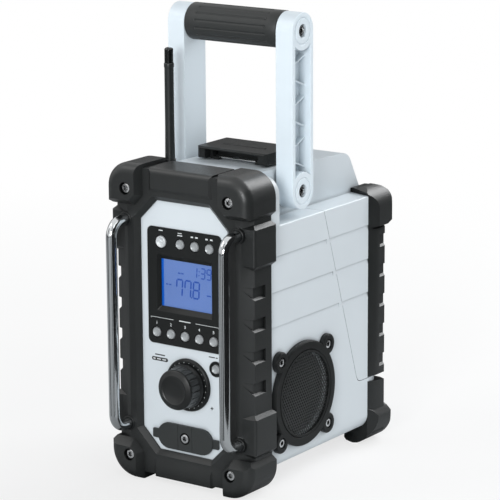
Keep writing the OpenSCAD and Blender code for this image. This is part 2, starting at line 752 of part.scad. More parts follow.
// Keys: sideways place, height and diameter
power_at = [-26.5, function_z, power_d];
function_at = [for (x = [-4.6, 11.9, 28.6]) [x, function_z, key_d]];
preset_at = [for (i = [-2:2]) [i * preset_pitch, preset_z, key_d]];
scan_at = [34.7, scan_z, key_d - 0.6];

module key_holes() for (k = concat([power_at], function_at, preset_at))
    rod_y(bezel_y - 1, glass_y + 1, k[2] / 2 + key_gap, k[0], k[1]);

module lcd_window() color("#6f86c6", 0.6) along_y(glass_y + seat / 2, glass_y + glass_t)
    soft_rect(-lcd_w - 2, lcd_low_z - 4, lcd_w + 2, lcd_high_z + 3.5, 1);

module lcd_module() color("#3b4a3f") difference() {
    along_y(glass_y + glass_t + seat, board_y) soft_rect(-lcd_w - 4, lcd_low_z - 6, lcd_w + 4, lcd_high_z + 6, 1);
    along_y(glass_y, glass_y + glass_t + 1) soft_rect(-lcd_w, lcd_low_z, lcd_w, lcd_high_z, 1);
}

module scan_ring() color("#2b2d2d") difference() {
    rod_y(fascia_y - 0.8, wall_y, 7.4, 34.7, scan_z);
    rod_y(fascia_y - 2, wall_y + 1, (key_d - 0.6) / 2 + key_gap, 34.7, scan_z);
}

// A key: domed face, body, collar behind the bezel and stem towards its switch
module key(at) translate([at[0], 0, at[1]]) rotate([-90, 0, 0]) rotate_extrude() {
    r = at[2] / 2;
    polygon(rounded([[0, key_y - 0.4, 0], [r, key_y - 0.1, 0.6], [r, glass_y + gap, 0],
        [r + 1, glass_y + gap, 0], [r + 1, glass_y + gap + 1.2, 0], [1.6, glass_y + gap + 1.2, 0],
        [1.6, switch_y - key_travel - gap, 0], [0, switch_y - key_travel - gap, 0]]));
}

module power_key() color("#d5d8d9") key(power_at);
module function_key_1() color("#a9adaf") key(function_at[0]);
module function_key_2() color("#a9adaf") key(function_at[1]);
module function_key_3() color("#a9adaf") key(function_at[2]);
module preset_key_1() color("#a9adaf") key(preset_at[0]);
module preset_key_2() color("#a9adaf") key(preset_at[1]);
module preset_key_3() color("#a9adaf") key(preset_at[2]);
module preset_key_4() color("#a9adaf") key(preset_at[3]);
module preset_key_5() color("#a9adaf") key(preset_at[4]);
module scan_key() color("#a9adaf") key(scan_at);

module control_board() color("#2f5d3a") {
    difference() {
        along_y(board_y, board_y + board_t) soft_rect(-bezel_w - 5, bezel_low_z - 28, bezel_w + 5, bezel_high_z + 7, 1);
        rod_y(board_y - 1, board_y + 3, 9, knob_x, knob_z + 2);
    }
    for (k = concat([power_at, scan_at], function_at, preset_at))
        translate([k[0] - 3, switch_y, k[1] - 3]) cube([6, board_y - switch_y, 6]);
}

// ---------- Knob ----------

module knob_skirt() color("#2b2d2d") difference() {
    rod_y(fascia_y - skirt_t, fascia_y, skirt_d / 2, knob_x, knob_z);
    rod_y(fascia_y - skirt_t - 1, fascia_y + 1, 6, knob_x, knob_z);
}

module encoder_body() color("#8b8f91") difference() {
    union() {
        rod_y(fascia_y - skirt_t + 0.5, board_y + 6, 6 - seat, knob_x, knob_z);
        translate([knob_x - 8, wall_y, knob_z - 6]) cube([16, board_y + 6 - wall_y, 12]);
    }
    rod_y(fascia_y - skirt_t - 1, board_y + 4, spindle_d / 2 + pin_fit, knob_x, knob_z);
}

module knob_spindle() color("#c9ccce") rod_y(knob_y + 5, board_y + 4 - knob_push - gap,
    spindle_d / 2, knob_x, knob_z);

module volume_knob() color("#2b2d2d") translate([knob_x, 0, knob_z]) rotate([-90, 0, 0]) difference() {
    front = knob_y;
    rear = fascia_y - skirt_t - knob_push - gap;
    r = knob_d / 2;
    rotate_extrude($fn = 96) polygon(rounded([[0, front + 2.4, 0], [r * 0.62, front + 1.4, 3],
        [r * 0.68, front, 0.8], [r * 0.8, front, 1.5], [r, front + 3, 1],
        [r, rear - 4, 1], [r + 1.4, rear - 2, 0.6], [r + 1.4, rear, 0], [0, rear, 0]]));
    for (i = [0:knob_flutes - 1]) rotate([0, 0, i * 360 / knob_flutes])
        translate([r + 0.5, 0, front + 4.5]) cylinder(r = 1.1, h = rear - front - 6.5, $fn = 16);
    translate([0, 0, knob_y + 5 - gap]) cylinder(r = spindle_d / 2 + pin_fit, h = 40);
    translate([0, 0, rear - 6]) cylinder(r = 12, h = 10);
}

// ---------- Port cover and jacks ----------

// Outline of the cover, m smaller on every side
module cover_outline(m) soft_rect(-cover_w + m, cover_z - cover_h / 2 + m, cover_w - m,
    cover_z + cover_h / 2 - m, cover_h / 2 - m - eps);

hub_w = 8;

module port_cover_hub() color("#2b2d2d") difference() {
    intersection() {
        along_y(fascia_y - 3, fascia_y) cover_outline(0);
        translate([-hub_w, -200, 0]) cube([2 * hub_w, 400, 100]);
    }
    rod_y(fascia_y - 4, fascia_y - 1.4, screw_head_r - 0.2, 0, cover_z);
    rod_y(fascia_y - 4, fascia_y + 1, 2.1, 0, cover_z);
}

// Flap on the right: half of the cover with its pull tab and two plugs
module port_flap() {
    intersection() {
        along_y(fascia_y - 3, fascia_y - gap) cover_outline(0);
        translate([hub_w + gap, -200, 0]) cube([60, 400, 100]);
    }
    along_y(fascia_y - 2, fascia_y - gap) soft_rect(cover_w - 3, cover_z - 4.5, cover_w + 6.5, cover_z + 4.5, 1.2);
}

module port_flap_right() color("#2b2d2d") port_flap();
module port_flap_left() color("#2b2d2d") mirror([1, 0, 0]) port_flap();

module aux_jack() color("#8b8f91") difference() {
    union() {
        rod_y(fascia_y, wall_y + 14, 6 - seat, -jack_x, cover_z);
        rod_y(wall_y, wall_y + 14, 7.5, -jack_x, cover_z);
    }
    rod_y(fascia_y - 1, wall_y + 11, 1.8, -jack_x, cover_z);
}

module dc_jack() color("#1d1f1f") {
    difference() {
        union() {
            rod_y(fascia_y, wall_y + 12, 6 - seat, jack_x, cover_z);
            rod_y(wall_y, wall_y + 12, 7.5, jack_x, cover_z);
        }
        rod_y(fascia_y - 1, wall_y + 9, 2.8, jack_x, cover_z);
    }
    rod_y(fascia_y + 1, wall_y + 10, 0.95, jack_x, cover_z);
}

// ---------- Speakers ----------

// Outline of the ring with its four ears, centred on the speaker's axis
module ring_outline_2d(m) {
    circle(ring_d / 2 - m, $fn = 128);
    for (a = [45:90:315]) rotate(a) translate([ring_screw_pitch / sqrt(2), 0]) circle(ear_r - m);
}

module speaker_ring() translate([body_w, speaker_y, speaker_z]) rotate([90, 0, 90]) difference() {
    union() {
        linear_extrude(ring_t - 1.2) ring_outline_2d(0);
        linear_extrude(ring_t - 0.4) ring_outline_2d(0.5);
        linear_extrude(ring_t) ring_outline_2d(1.2);
    }
    translate([0, 0, -1]) cylinder(d = ring_open_d, h = 10, $fn = 128);
    translate([0, 0, ring_t - 1.5]) cylinder(d1 = ring_open_d, d2 = ring_open_d + 3.2, h = 1.6, $fn = 128);
    for (a = [45:90:315]) rotate(a) translate([ring_screw_pitch / sqrt(2), 0, 0]) {
        translate([0, 0, 1.4]) cylinder(r = 5.2, h = 10);
        translate([0, 0, -1]) cylinder(r = 2, h = 10);
    }
}

module speaker_ring_right() color("#2b2d2d") speaker_ring();
module speaker_ring_left() color("#2b2d2d") mirror([1, 0, 0]) speaker_ring();

module speaker_screws() color("#9ea3a6") both_sides() translate([body_w, speaker_y, speaker_z])
    rotate([90, 0, 90]) for (a = [45:90:315]) rotate(a) translate([ring_screw_pitch / sqrt(2), 0, 1.4])
        difference() {
            union() {
                cylinder(r = screw_head_r - 0.6, h = 2.8);
                translate([0, 0, -7]) cylinder(r = 1.7, h = 7 + eps);
            }
            translate([0, 0, 1]) cylinder(r = 2.2, h = 3, $fn = 6);
        }

module speaker_mesh() translate([mesh_x, speaker_y, speaker_z]) rotate([0, 90, 0])
    cylinder(d = ring_open_d - 2 * seat, h = 1, $fn = 128);

module speaker_mesh_right() color("#1a1c1c") speaker_mesh();
module speaker_mesh_left() color("#1a1c1c") mirror([1, 0, 0]) speaker_mesh();

// Cone with its surround and dust cap, facing outwards
module speaker_cone() translate([body_w - wall, speaker_y, speaker_z]) rotate([90, 0, 90])
    rotate_extrude($fn = 96) polygon(rounded([[0, -14, 0], [9, -17, 0], [30, -1.5, 0], [33, 1.2, 1.5],
        [36.4, -0.6, 0], [39, -0.6, 0], [39, -1.6, 0], [36, -1.6, 0], [33, 0, 0], [30.4, -3, 0], [9, -20, 0],
        [0, -20, 0]], 4));

module speaker_cone_right() color("#242626") speaker_cone();
module speaker_cone_left() color("#242626") mirror([1, 0, 0]) speaker_cone();

// Basket with rim, four windows, and the magnet behind it
module speaker_basket() translate([body_w - wall, speaker_y, speaker_z]) rotate([90, 0, 90]) difference() {
    rotate_extrude($fn = 96) polygon([[39 + seat, 0], [46, 0], [46, -2], [41.5, -2.5], [41.5, -6],
        [20, -24], [27, -24], [27, -36], [0, -36], [0, -22], [12, -22], [36.5, -4.5],
        [36.5, -1.6], [39 + seat, -1.6]]);
    for (a = [0:90:270]) rotate(a) translate([28, 0, -22]) cylinder(r = 4.5, h = 24);
}

module speaker_basket_right() color("#5d6163") speaker_basket();
module speaker_basket_left() color("#5d6163") mirror([1, 0, 0]) speaker_basket();

// ---------- Antenna ----------

module antenna_socket() color("#242626") translate([-antenna_x, antenna_y, 0]) {
    translate([0, 0, top_z]) cylinder(d = antenna_d + 1.6, h = 5);
    translate([0, 0, top_z - wall - 6]) cylinder(r = 2.9, h = wall + 6 + eps);
}

module antenna_rod() color("#2b2d2d") translate([-antenna_x, antenna_y, 0]) {
    translate([0, 0, top_z + 5]) cylinder(d = antenna_d, h = antenna_top_z - top_z - 26);
    translate([0, 0, antenna_top_z - 21 - eps]) cylinder(d = antenna_d - 0.9, h = 7 + eps);
}

module antenna_cap() color("#1a1c1c") translate([-antenna_x, antenna_y, antenna_top_z - 14])
    rotate_extrude() polygon(rounded([[0, 0, 0], [antenna_d / 2 - 0.1, 0, 0.4], [antenna_d / 2 - 0.1, 14, 1.4], [0, 14, 0]]));

// ---------- Electronics and battery ----------

module amplifier_board() color("#2f5d3a") translate([0, speaker_y - 40, base_z + wall + 10]) {
    translate([-44, -5, 0]) cube([88, 90, 1.6]);
    translate([-18, 20, 1.6 - eps]) cube([36, 8, 16]);
    for (x = [-30, 30]) translate([x, 60, 1.6 - eps]) cylinder(r = 5, h = 14);
}

module battery_rail() color("#242626") difference() {
    intersection() {
        difference() {
            door_zone(seam / 2);
            door_zone(-9);
        }
        along_x(-36, 36) polygon([[0, 118], [200, 118], [200, 214], [0, 214]]);
    }
    // undercut slots that hold the pack's rails
    both_sides() intersection() {
        difference() {
            door_zone(-2.5);
            door_zone(-6.5);
        }
        along_x(28, 40) polygon([[0, 126], [200, 126], [200, 220], [0, 220]]);
    }
}

// ---------- Latch ----------

// Two lugs on the case that the latch wire drops into
module latch_catch() color("#242626") difference() {
    for (x = [-24, 24]) along_x(x - 3, x + 3) polygon(rounded([
        [latch_wire_y - 3.6, catch_z - 0.6, 0], [latch_wire_y + 5, catch_z - 1, 0],
        [latch_wire_y + 5, catch_z + 0.6, 0.4], [latch_wire_y + 0.5, catch_z + 0.8, 0.4],
        [latch_wire_y - 1.6, catch_z + 0.8, 0.4], [latch_wire_y - 1.8, catch_z + 3.2, 0.5], [latch_wire_y - 3.6, catch_z + 3.2, 1]]));
    envelope(0);
}

catch_z = top_z - 5 * (latch_wire_y - flange_y) / (back_y - 23.4 - flange_y);
latch_wire_z = catch_z + 0.8 + latch_wire_r + gap;

module latch_lever() color("#2b2d2d") difference() {
    union() {
        // plate
        along_x(-latch_w, latch_w) polygon(rounded([[latch_front_y, latch_top_z - 2.2, 0.6],
            [latch_front_y, latch_top_z - 1.2, 0.6], [latch_front_y + 2, latch_top_z, 1],
            [latch_rear_y - 2, latch_top_z, 1], [latch_rear_y, latch_top_z - 1.6, 1],
            [latch_rear_y, latch_top_z - 8, 2], [latch_rear_y - 3, latch_top_z - 8, 0],
            [latch_rear_y - 3, latch_top_z - 2.6, 1], [latch_front_y + 3, latch_top_z - 2.6, 0]]));
        // cheeks
        both_sides() along_x(latch_w - 9.5, latch_w) polygon(rounded([
            [latch_front_y, latch_top_z - 1.2, 0.6], [latch_front_y, latch_foot_z, 2.5],
            [latch_front_y + 30, latch_foot_z + gap, 6], [latch_rear_y - 1, latch_foot_z + 3, 3],
            [latch_rear_y, latch_top_z - 1.6, 1]]));
        // inner lugs that hold the wire
        both_sides() along_x(28, latch_w - 9) polygon(rounded([
            [latch_wire_y - 3, latch_top_z - 2, 0], [latch_wire_y - 3, latch_wire_z - 2.2, 1.5],
            [latch_wire_y + 3, latch_wire_z - 2.2, 1.5], [latch_wire_y + 3, latch_top_z - 2, 0]]));
        // raised grip line
        along_x(-24, 24) polygon(rounded([[latch_front_y + 20, latch_top_z - 1, 0], [latch_front_y + 21, latch_top_z + 0.9, 0.4],
            [latch_front_y + 23, latch_top_z + 0.9, 0.4], [latch_front_y + 25, latch_top_z - 1, 0]]));
    }
    rod_x(-28 - 4, 28 + 4, latch_wire_r, latch_wire_y, latch_wire_z);
    // room for the door's ears and the pin
    both_sides() translate([latch_w - 9 - 3 - gap, latch_pin_y - 4.5, 0]) cube([6 + 2 * gap, 12, latch_top_z - 2.6]);
    rod_x(-latch_w - 1, latch_w + 1, 1.5 + pin_fit, latch_pin_y, latch_pin_z);
    both_sides() beyond([latch_w, latch_front_y + 2.5, 0], [1, -1.2, 0]);
}

module latch_wire() color("#c9ccce") rod_x(-28 - 4, 28 + 4, latch_wire_r, latch_wire_y, latch_wire_z);

module latch_pin() color("#9ea3a6") rod_x(-latch_w + 2, latch_w - 2, 1.5, latch_pin_y, latch_pin_z);

// ---------- Handle ----------

// Shoulder bolts that the arms turn on
module pivot_bolts() color("#9ea3a6") both_sides() translate([0, pivot_y, pivot_z]) difference() {
    union() {
        rod_x(hump_w - wall - 4, arm_out - 4.5 + gap, pivot_d / 2, 0, 0);
        rod_x(arm_out - 4.5 + gap, arm_out - 1.2, screw_head_r, 0, 0);
    }
    translate([arm_out - 3.4, 0, 0]) rotate([0, 90, 0]) cylinder(r = 2.6, h = 5, $fn = 6);
}

// Arm on the right, ribbed on its outer side
module handle_arm() {
    pocket_r = arm_r + 1;
    difference() {
        union() {
            along_x(arm_in, arm_out) arm_outline(0);
        }
        // pocket between the two bosses
        along_x(arm_out - pocket_d, arm_out + 1) pocket_outline(pocket_r);
        // shallow ring round each screw
        for (z = [pivot_z, grip_z]) translate([arm_out - 0.8, pivot_y, z]) rotate([0, 90, 0]) difference() {
            cylinder(r = 13, h = 2);
            translate([0, 0, -1]) cylinder(r = 11.6, h = 4);
        }
        for (z = [pivot_z, grip_z]) rod_x(arm_out - 4.5, arm_out + 1, screw_cup_r, pivot_y, z);
        rod_x(arm_in - 1, arm_out, pivot_d / 2 + pin_fit, pivot_y, pivot_z);
        rod_x(arm_in - 1, arm_out - 9, core_r + seat / 2, pivot_y, grip_z);
        rod_x(arm_in - 1, arm_out, 2.2, pivot_y, grip_z);
    }
    // zig-zag ribs, open towards the rear
    intersection() {
        along_x(arm_out - pocket_d - eps, arm_out - pocket_d / 2) pocket_outline(pocket_r);
        along_x(arm_in, arm_out) for (i = [0:2], s = [-1, 1])
            translate([pivot_y - arm_r + 4, pivot_z + arm_r + rib_pitch * (i + 0.5) - 2])
                rotate(s * 21.3) translate([-4, s * 3.6 - rib_t / 2]) square([40, rib_t]);
    }
}

rib_pitch = (handle_reach - 2 * arm_r) / 3;

module arm_outline(m) {
    translate([pivot_y - arm_r + m, pivot_z]) square([arm_w - 2 * m, handle_reach]);
    for (z = [pivot_z, grip_z]) translate([pivot_y, z]) circle(arm_r - m, $fn = 96);
}

module pocket_outline(boss_r) difference() {
    translate([pivot_y - arm_r + 4.7, pivot_z]) square([arm_w - 9.4, handle_reach]);
    for (z = [pivot_z, grip_z]) translate([pivot_y, z]) circle(boss_r, $fn = 96);
}

module handle_arm_right() color("#e3eef6") handle_arm();
module handle_arm_left() color("#e3eef6") mirror([1, 0, 0]) handle_arm();

module handle_grip() color("#2b2d2d") difference() {
    rod_x(-arm_in + seat, arm_in - seat, grip_d / 2, pivot_y, grip_z);
    rod_x(-arm_in - 1, arm_in + 1, core_r + seat / 2, pivot_y, grip_z);
    // long grooves
    for (a = [0:24:336]) translate([0, pivot_y, grip_z]) rotate([a, 0, 0])
        translate([-arm_in + 12, -0.7, grip_d / 2 - 0.6]) cube([2 * arm_in - 24, 1.4, 2]);
}

module handle_core() color("#9ea3a6") difference() {
    rod_x(-arm_out + 9 + seat, arm_out - 9 - seat, core_r, pivot_y, grip_z);
    rod_x(-arm_out, arm_out, 2.1, pivot_y, grip_z);
}

module handle_screws() color("#9ea3a6") both_sides() translate([0, pivot_y, grip_z]) difference() {
    union() {
        rod_x(arm_out - 22, arm_out - 4.5, 2, 0, 0);
        rod_x(arm_out - 4.5, arm_out - 1.2, screw_head_r, 0, 0);
    }
    translate([arm_out - 3.4, 0, 0]) rotate([0, 90, 0]) cylinder(r = 2.6, h = 5, $fn = 6);
}

front_bumper();
main_housing();
rear_bumper_lower();
front_fascia();
display_bezel();
lcd_window();
lcd_module();
scan_ring();
grab_bar_left();
grab_bar_right();
bar_collars();
speaker_ring_left();
speaker_ring_right();
speaker_mesh_left();
speaker_mesh_right();
speaker_cone_left();
speaker_cone_right();
speaker_basket_left();
speaker_basket_right();
speaker_screws();
front_screws();
antenna_socket();
antenna_rod();
antenna_cap();
knob_skirt();
encoder_body();
port_cover_hub();
aux_jack();
dc_jack();
control_board();
amplifier_board();
battery_rail();
door_hinge_pin();
latch_catch();
pivot_bolts();
handle_arm_left();
handle_arm_right();
handle_grip();
handle_core();
handle_screws();
door_shell();
rear_bumper_upper();
door_seal();
latch_pin();
latch_lever();
latch_wire();
knob_spindle();
volume_knob();
power_key();
function_key_1();
function_key_2();
function_key_3();
preset_key_1();
preset_key_2();
preset_key_3();
preset_key_4();
preset_key_5();
scan_key();
port_flap_left();
port_flap_right();
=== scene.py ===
"""Finishes and fine shapes of a jobsite radio, laid over its constructed solids."""

import functools
import json
import math

import bmesh
import bpy
import numpy as np
from bpy.props import FloatProperty, FloatVectorProperty, IntProperty, PointerProperty
from mathutils import Matrix, Vector

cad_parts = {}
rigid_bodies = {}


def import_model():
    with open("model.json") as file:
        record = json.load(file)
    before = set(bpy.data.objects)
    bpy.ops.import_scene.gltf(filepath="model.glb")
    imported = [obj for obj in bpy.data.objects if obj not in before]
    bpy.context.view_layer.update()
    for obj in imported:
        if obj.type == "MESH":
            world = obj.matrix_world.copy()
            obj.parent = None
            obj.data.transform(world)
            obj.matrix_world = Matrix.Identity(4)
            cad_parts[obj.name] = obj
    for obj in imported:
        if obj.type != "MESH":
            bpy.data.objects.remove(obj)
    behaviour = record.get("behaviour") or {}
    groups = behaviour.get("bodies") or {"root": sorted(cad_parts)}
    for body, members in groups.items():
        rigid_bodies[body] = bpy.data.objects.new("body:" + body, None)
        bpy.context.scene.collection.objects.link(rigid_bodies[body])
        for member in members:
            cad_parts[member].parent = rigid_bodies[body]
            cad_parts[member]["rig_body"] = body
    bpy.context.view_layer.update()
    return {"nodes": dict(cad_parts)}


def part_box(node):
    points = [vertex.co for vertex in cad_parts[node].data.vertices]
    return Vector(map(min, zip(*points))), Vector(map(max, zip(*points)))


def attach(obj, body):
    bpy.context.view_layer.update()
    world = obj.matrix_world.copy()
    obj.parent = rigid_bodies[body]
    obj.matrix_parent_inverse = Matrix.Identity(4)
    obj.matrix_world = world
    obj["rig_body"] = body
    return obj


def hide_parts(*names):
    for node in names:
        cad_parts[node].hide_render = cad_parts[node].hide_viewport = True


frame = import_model()

bl_info = {
    "name": "Jobsite Radio",
    "version": (1, 0, 0),
    "blender": (4, 5, 0),
    "location": "View3D > Sidebar > Radio",
    "description": "Builds the visible pieces of a jobsite radio over its solids",
    "category": "Add Mesh",
}

MM = 0.001
FORWARD, UPWARD = (0, 1, 0), (0, 0, 1)  # axes that turned pieces run along
FLANGE = 1.4  # mm that the foot of a key or of the knob stands out
SUNK = 0.02  # mm that print and thin rings reach into the surface below


def linear(code):
    """A hex colour as linear RGBA: c / 12.92 near black, ((c + 0.055) / 1.055) ** 2.4 above."""
    channels = [int(code[i : i + 2], 16) / 255 for i in (1, 3, 5)]
    return (*(c / 12.92 if c <= 0.04045 else ((c + 0.055) / 1.055) ** 2.4 for c in channels), 1.0)


def colour(name, code, about):
    return FloatVectorProperty(
        name=name, description=about, subtype="COLOR", size=4, min=0, max=1, default=linear(code)
    )


def length(name, value, about):
    return FloatProperty(name=name, description=about, default=value * MM, min=0, unit="LENGTH")


def number(name, value, least, about):
    return IntProperty(name=name, description=about, default=value, min=least)


class RadioSizes(bpy.types.PropertyGroup):
    """Sizes that the fine shapes take beyond those of the solids"""

    shell_edge: length("Shell edge", 0.9, "Rounding of the white housing's edges")
    foot_edge: length("Foot edge", 7.0, "Rounding of the housing's lower side edges")
    rubber_edge: length("Rubber edge", 0.9, "Rounding of the bumpers' edges")
    arm_edge: length("Arm edge", 1.6, "Rounding of the handle arms' long edges")
    groove_width: length("Grip groove width", 1.5, "Width of a long groove in the grip")
    groove_depth: length("Grip groove depth", 0.7, "Depth of a long groove in the grip")
    hole_pitch: length("Hole pitch", 3.2, "Distance between the holes of the speaker grilles")
    hole_diameter: length("Hole diameter", 2.45, "Diameter of a hole in the speaker grilles")
    legend_height: length("Legend height", 2.7, "Height of the numbers over the preset keys")
    digit_height: length("Digit height", 15.6, "Height of the display's large digits")
    clock_height: length("Clock digit height", 9.6, "Height of the display's clock digits")
    grooves: number("Grip grooves", 15, 6, "Grooves round the grip")
    flutes: number("Knob flutes", 20, 8, "Flutes round the knob")


class RadioColours(bpy.types.PropertyGroup):
    """Colours of the radio's finishes"""

    case: colour("Case", "#DBE3E8", "White ABS of the case and the fascia")
    # painted light: the arms' white is lighter and bluer than the case's, for their lit fronts
    arm: colour("Handle", "#E6F1F8", "White ABS of the handle arms")
    rubber: colour("Bumper", "#262828", "Charcoal elastomer of the bumpers")
    dark: colour("Dark plastic", "#181A1A", "Charcoal plastic of bezel, knob and latch")
    grip: colour("Grip", "#303232", "Soft rubber of the grip")
    key: colour("Keys", "#A7ABAD", "Silver-grey keys")
    power: colour("Power key", "#E2E6E8", "Brighter key at the top left")
    lit: colour("Display", "#6C88C0", "Lit ground of the display")
    leak: colour("Display edge", "#0C58B4", "Deep blue at the display's left edge")
    ink: colour("Display digits", "#1F4FA6", "Digits of the display")
    print: colour("Legends", "#D9DEDF", "Printed numbers and lines")


# ---------------- node materials


def add(tree, kind, feeds=(), stops=None, **settings):
    """Adds one shader node. A setting goes to the node's property of that name, else to its input,
    with spaces for underscores. Feeds are (input, source, output), and stops fill a colour ramp."""
    made = tree.nodes.new("ShaderNode" + kind)
    for key, value in settings.items():
        if key in made.bl_rna.properties:
            setattr(made, key, value)
        else:
            made.inputs[key.replace("_", " ")].default_value = value
    if stops:
        steps = made.color_ramp.elements
        while len(steps) < len(stops):
            steps.new(0.5)
        for step, (place, tint) in zip(steps, stops):
            step.position = place
            step.color = tint
    for socket, source, output in feeds:
        tree.links.new(source.outputs[output], made.inputs[socket])
    return made


def shade(tint, factor):
    return (*(min(1.0, c * factor) for c in tint[:3]), 1.0)


def blank(name):
    made = bpy.data.materials.new(name)
    made.use_nodes = True
    made.node_tree.nodes.clear()
    return made, made.node_tree


def mapped(tree, source, output, low, high, start=0.3, end=0.7):
    """A value carried from the range start to end onto low to high."""
    ranges = {"From_Min": start, "From_Max": end, "To_Min": low, "To_Max": high}
    return add(tree, "MapRange", [("Value", source, output)], **ranges)


def drifting(tree, coords, scale, detail, low, high):
    """A colour that slow noise moves between low and high."""
    slow = add(tree, "TexNoise", [("Vector", coords, "Object")], Scale=scale, Detail=detail)
    return add(tree, "ValToRGB", [("Fac", slow, "Fac")], stops=[(0.3, low), (0.7, high)])


def grained(tree, source, output, scale, low, high, depth, distance):
    """Feeds of a grained skin: fine noise moves the roughness between low and high, and the height
    by distance metres at a strength of depth."""
    feed = [("Vector", source, output)]
    fine = add(tree, "TexNoise", feed, Scale=scale, Detail=3.0, Roughness=0.6)
    gloss = mapped(tree, fine, "Fac", low, high)
    relief = add(tree, "Bump", [("Height", fine, "Fac")], Strength=depth, Distance=distance)
    return [("Roughness", gloss, "Result"), ("Normal", relief, "Normal")]


def principled(made, tree, feeds, **sockets):
    body = add(tree, "BsdfPrincipled", feeds, **sockets)
    add(tree, "OutputMaterial", [("Surface", body, "BSDF")])
    return made


def moulded(
    name, tint, rough, grain, depth, drift, level=0.5, spread=0.04, creases=0, reach=0.022, pearl=0
):
    """Injection-moulded plastic: a sparked-tool texture of grain metres that moves the roughness by
    spread, a slow drift of tone over centimetres from the flow of the melt, and painted shade:
    as far as reach metres from the walls of a crease, ambient occlusion darkens the colour and
    dulls the gloss. Level is specular, and pearl metallic."""
    made, tree = blank(name)
    coords = add(tree, "TexCoord")
    tone = drifting(tree, coords, 22.0, 2.0, shade(tint, 1 - drift), shade(tint, 1 + drift))
    low, high = rough - spread, rough + spread
    feeds = grained(tree, coords, "Object", 1 / grain, low, high, depth, grain * 0.2)
    if creases:
        # painted shade: occlusion darkens the base colour and lowers the specular level near crease
        # walls
        near = add(tree, "AmbientOcclusion", Distance=reach, samples=6)
        matt = mapped(tree, near, "AO", level * 0.2, level, 0.35, 0.9)
        feeds.append(("Specular IOR Level", matt, "Result"))
        layers = [("Color1", tone, "Color"), ("Color2", near, "Color")]
        tone = add(tree, "MixRGB", layers, blend_type="MULTIPLY", Fac=creases)
    feeds.append(("Base Color", tone, "Color"))
    return principled(made, tree, feeds, IOR=1.5, Metallic=pearl, Specular_IOR_Level=level)


def metal(name, tint, rough, streak, depth, recess=0.0):
    """Metal whose fine drawing or turning marks run along one axis: noise stretched by streak makes
    the gloss vary across them. Holes narrower than recess metres get painted shade: ambient
    occlusion turns the colour near black within them."""
    made, tree = blank(name)
    coords = add(tree, "TexCoord")
    turn = add(tree, "Mapping", [("Vector", coords, "Object")], Scale=streak)
    feeds = grained(tree, turn, "Vector", 1.0, rough * 0.6, rough * 1.5, depth, 0.00004)
    if recess:
        # painted shade: occlusion turns the colour near black within narrow holes
        near = add(tree, "AmbientOcclusion", Distance=recess, samples=6)
        stops = [(0.42, shade(tint, 0.02)), (0.72, tint)]
        hole_shade = add(tree, "ValToRGB", [("Fac", near, "AO")], stops=stops)
        feeds.append(("Base Color", hole_shade, "Color"))
    return principled(made, tree, feeds, Base_Color=tint, Metallic=1.0)


def clear_window(name):
    """Clear acrylic window, 1.5 mm: it hardly tints, so it lets the display through and only adds a
    reflection that grows at a flat angle."""
    made, tree = blank(name)
    through = add(tree, "BsdfTransparent", Color=(0.94, 0.96, 1.0, 1.0))
    shine = add(tree, "BsdfGlossy", Roughness=0.03)
    angle = add(tree, "Fresnel", IOR=1.2)
    blend = add(tree, "MixShader", [(0, angle, "Fac"), (1, through, "BSDF"), (2, shine, "BSDF")])
    add(tree, "OutputMaterial", [("Surface", blend, "Shader")])
    return made


def lit_panel(name, tint, strength):
    """Backlit liquid crystal panel: it glows with a slow drift of 4 % in its tone, under a matt
    polariser film."""
    made, tree = blank(name)
    tone = drifting(tree, add(tree, "TexCoord"), 40.0, 1.0, shade(tint, 0.96), shade(tint, 1.04))
    sockets = {"Base_Color": shade(tint, 0.35), "Roughness": 0.45, "Emission_Strength": strength}
    return principled(made, tree, [("Emission Color", tone, "Color")], **sockets)


# colour, roughness, grain in metres, depth of the grain, drift of tone, specular level, further
MOULDED = {
    # ABS, moulded in a fine spark-eroded tool: satin, cool white
    # painted shade darkens the case's grooves and seams, within 4 mm
    "case_abs": ("case", 0.36, 0.0009, 0.10, 0.012, 0.65, {"creases": 0.55, "reach": 0.004}),
    # painted shade darkens the pockets of the handle arms
    "arm_abs": ("arm", 0.36, 0.0009, 0.08, 0.010, {"creases": 0.3}),
    # thermoplastic elastomer, overmoulded: satin charcoal with a leathery grain
    # painted shade darkens the bumpers' recessed columns and notches
    "bumper_elastomer": ("rubber", 0.38, 0.0011, 0.35, 0.10, {"spread": 0.07, "creases": 0.9}),
    "grip_rubber": ("grip", 0.50, 0.0009, 0.35, 0.10, 0.35, {"spread": 0.06}),
    "cover_rubber": ("#2D3030", 0.46, 0.0009, 0.3, 0.08),
    # painted shade: matt near-black ring for the shadowed gap round the cover's screw
    "recess_black": ("#070707", 0.7, 0.0009, 0.1, 0.1, 0.1),
    # ABS and nylon in charcoal: smoother, with a soft sheen
    "dark_abs": ("dark", 0.40, 0.0008, 0.16, 0.06, 0.32),
    "knob_abs": ("dark", 0.34, 0.0008, 0.14, 0.06),
    "latch_nylon": ("dark", 0.38, 0.0012, 0.22, 0.10, 0.35),
    "antenna_nylon": ("#222525", 0.32, 0.0009, 0.12, 0.06),
    # polished acetal, black: the antenna's tip; and the rings of painted shade round the keys
    "gloss_cap": ("dark", 0.16, 0.001, 0.02, 0.05, {"tone": 0.5}),
    # painted keys: pearly silver-grey lacquer
    "silver_keys": ("key", 0.34, 0.0006, 0.05, 0.03, {"pearl": 0.15}),
    "power_lacquer": ("power", 0.26, 0.0006, 0.05, 0.03, {"pearl": 0.35}),
    # perforated steel sheet, powder-coated black
    "grille_sheet": ("#323434", 0.34, 0.0007, 0.2, 0.08),
    # pressed paper cone, dyed charcoal, and its rubber roll
    "cone_paper": ("#161718", 0.50, 0.0012, 0.4, 0.12, {"spread": 0.08}),
    # glass-fibre board under green solder mask
    "board": ("#23513A", 0.35, 0.002, 0.1, 0.10),
    # screen-printed ink, light and dark
    "print": ("print", 0.5, 0.0005, 0.05, 0.02),
    "black_print": ("#2A2D2E", 0.5, 0.0005, 0.05, 0.02),
    # black card of the stage
    "black_card": ("#101010", 0.8, 0.002, 0.02, 0.05),
}
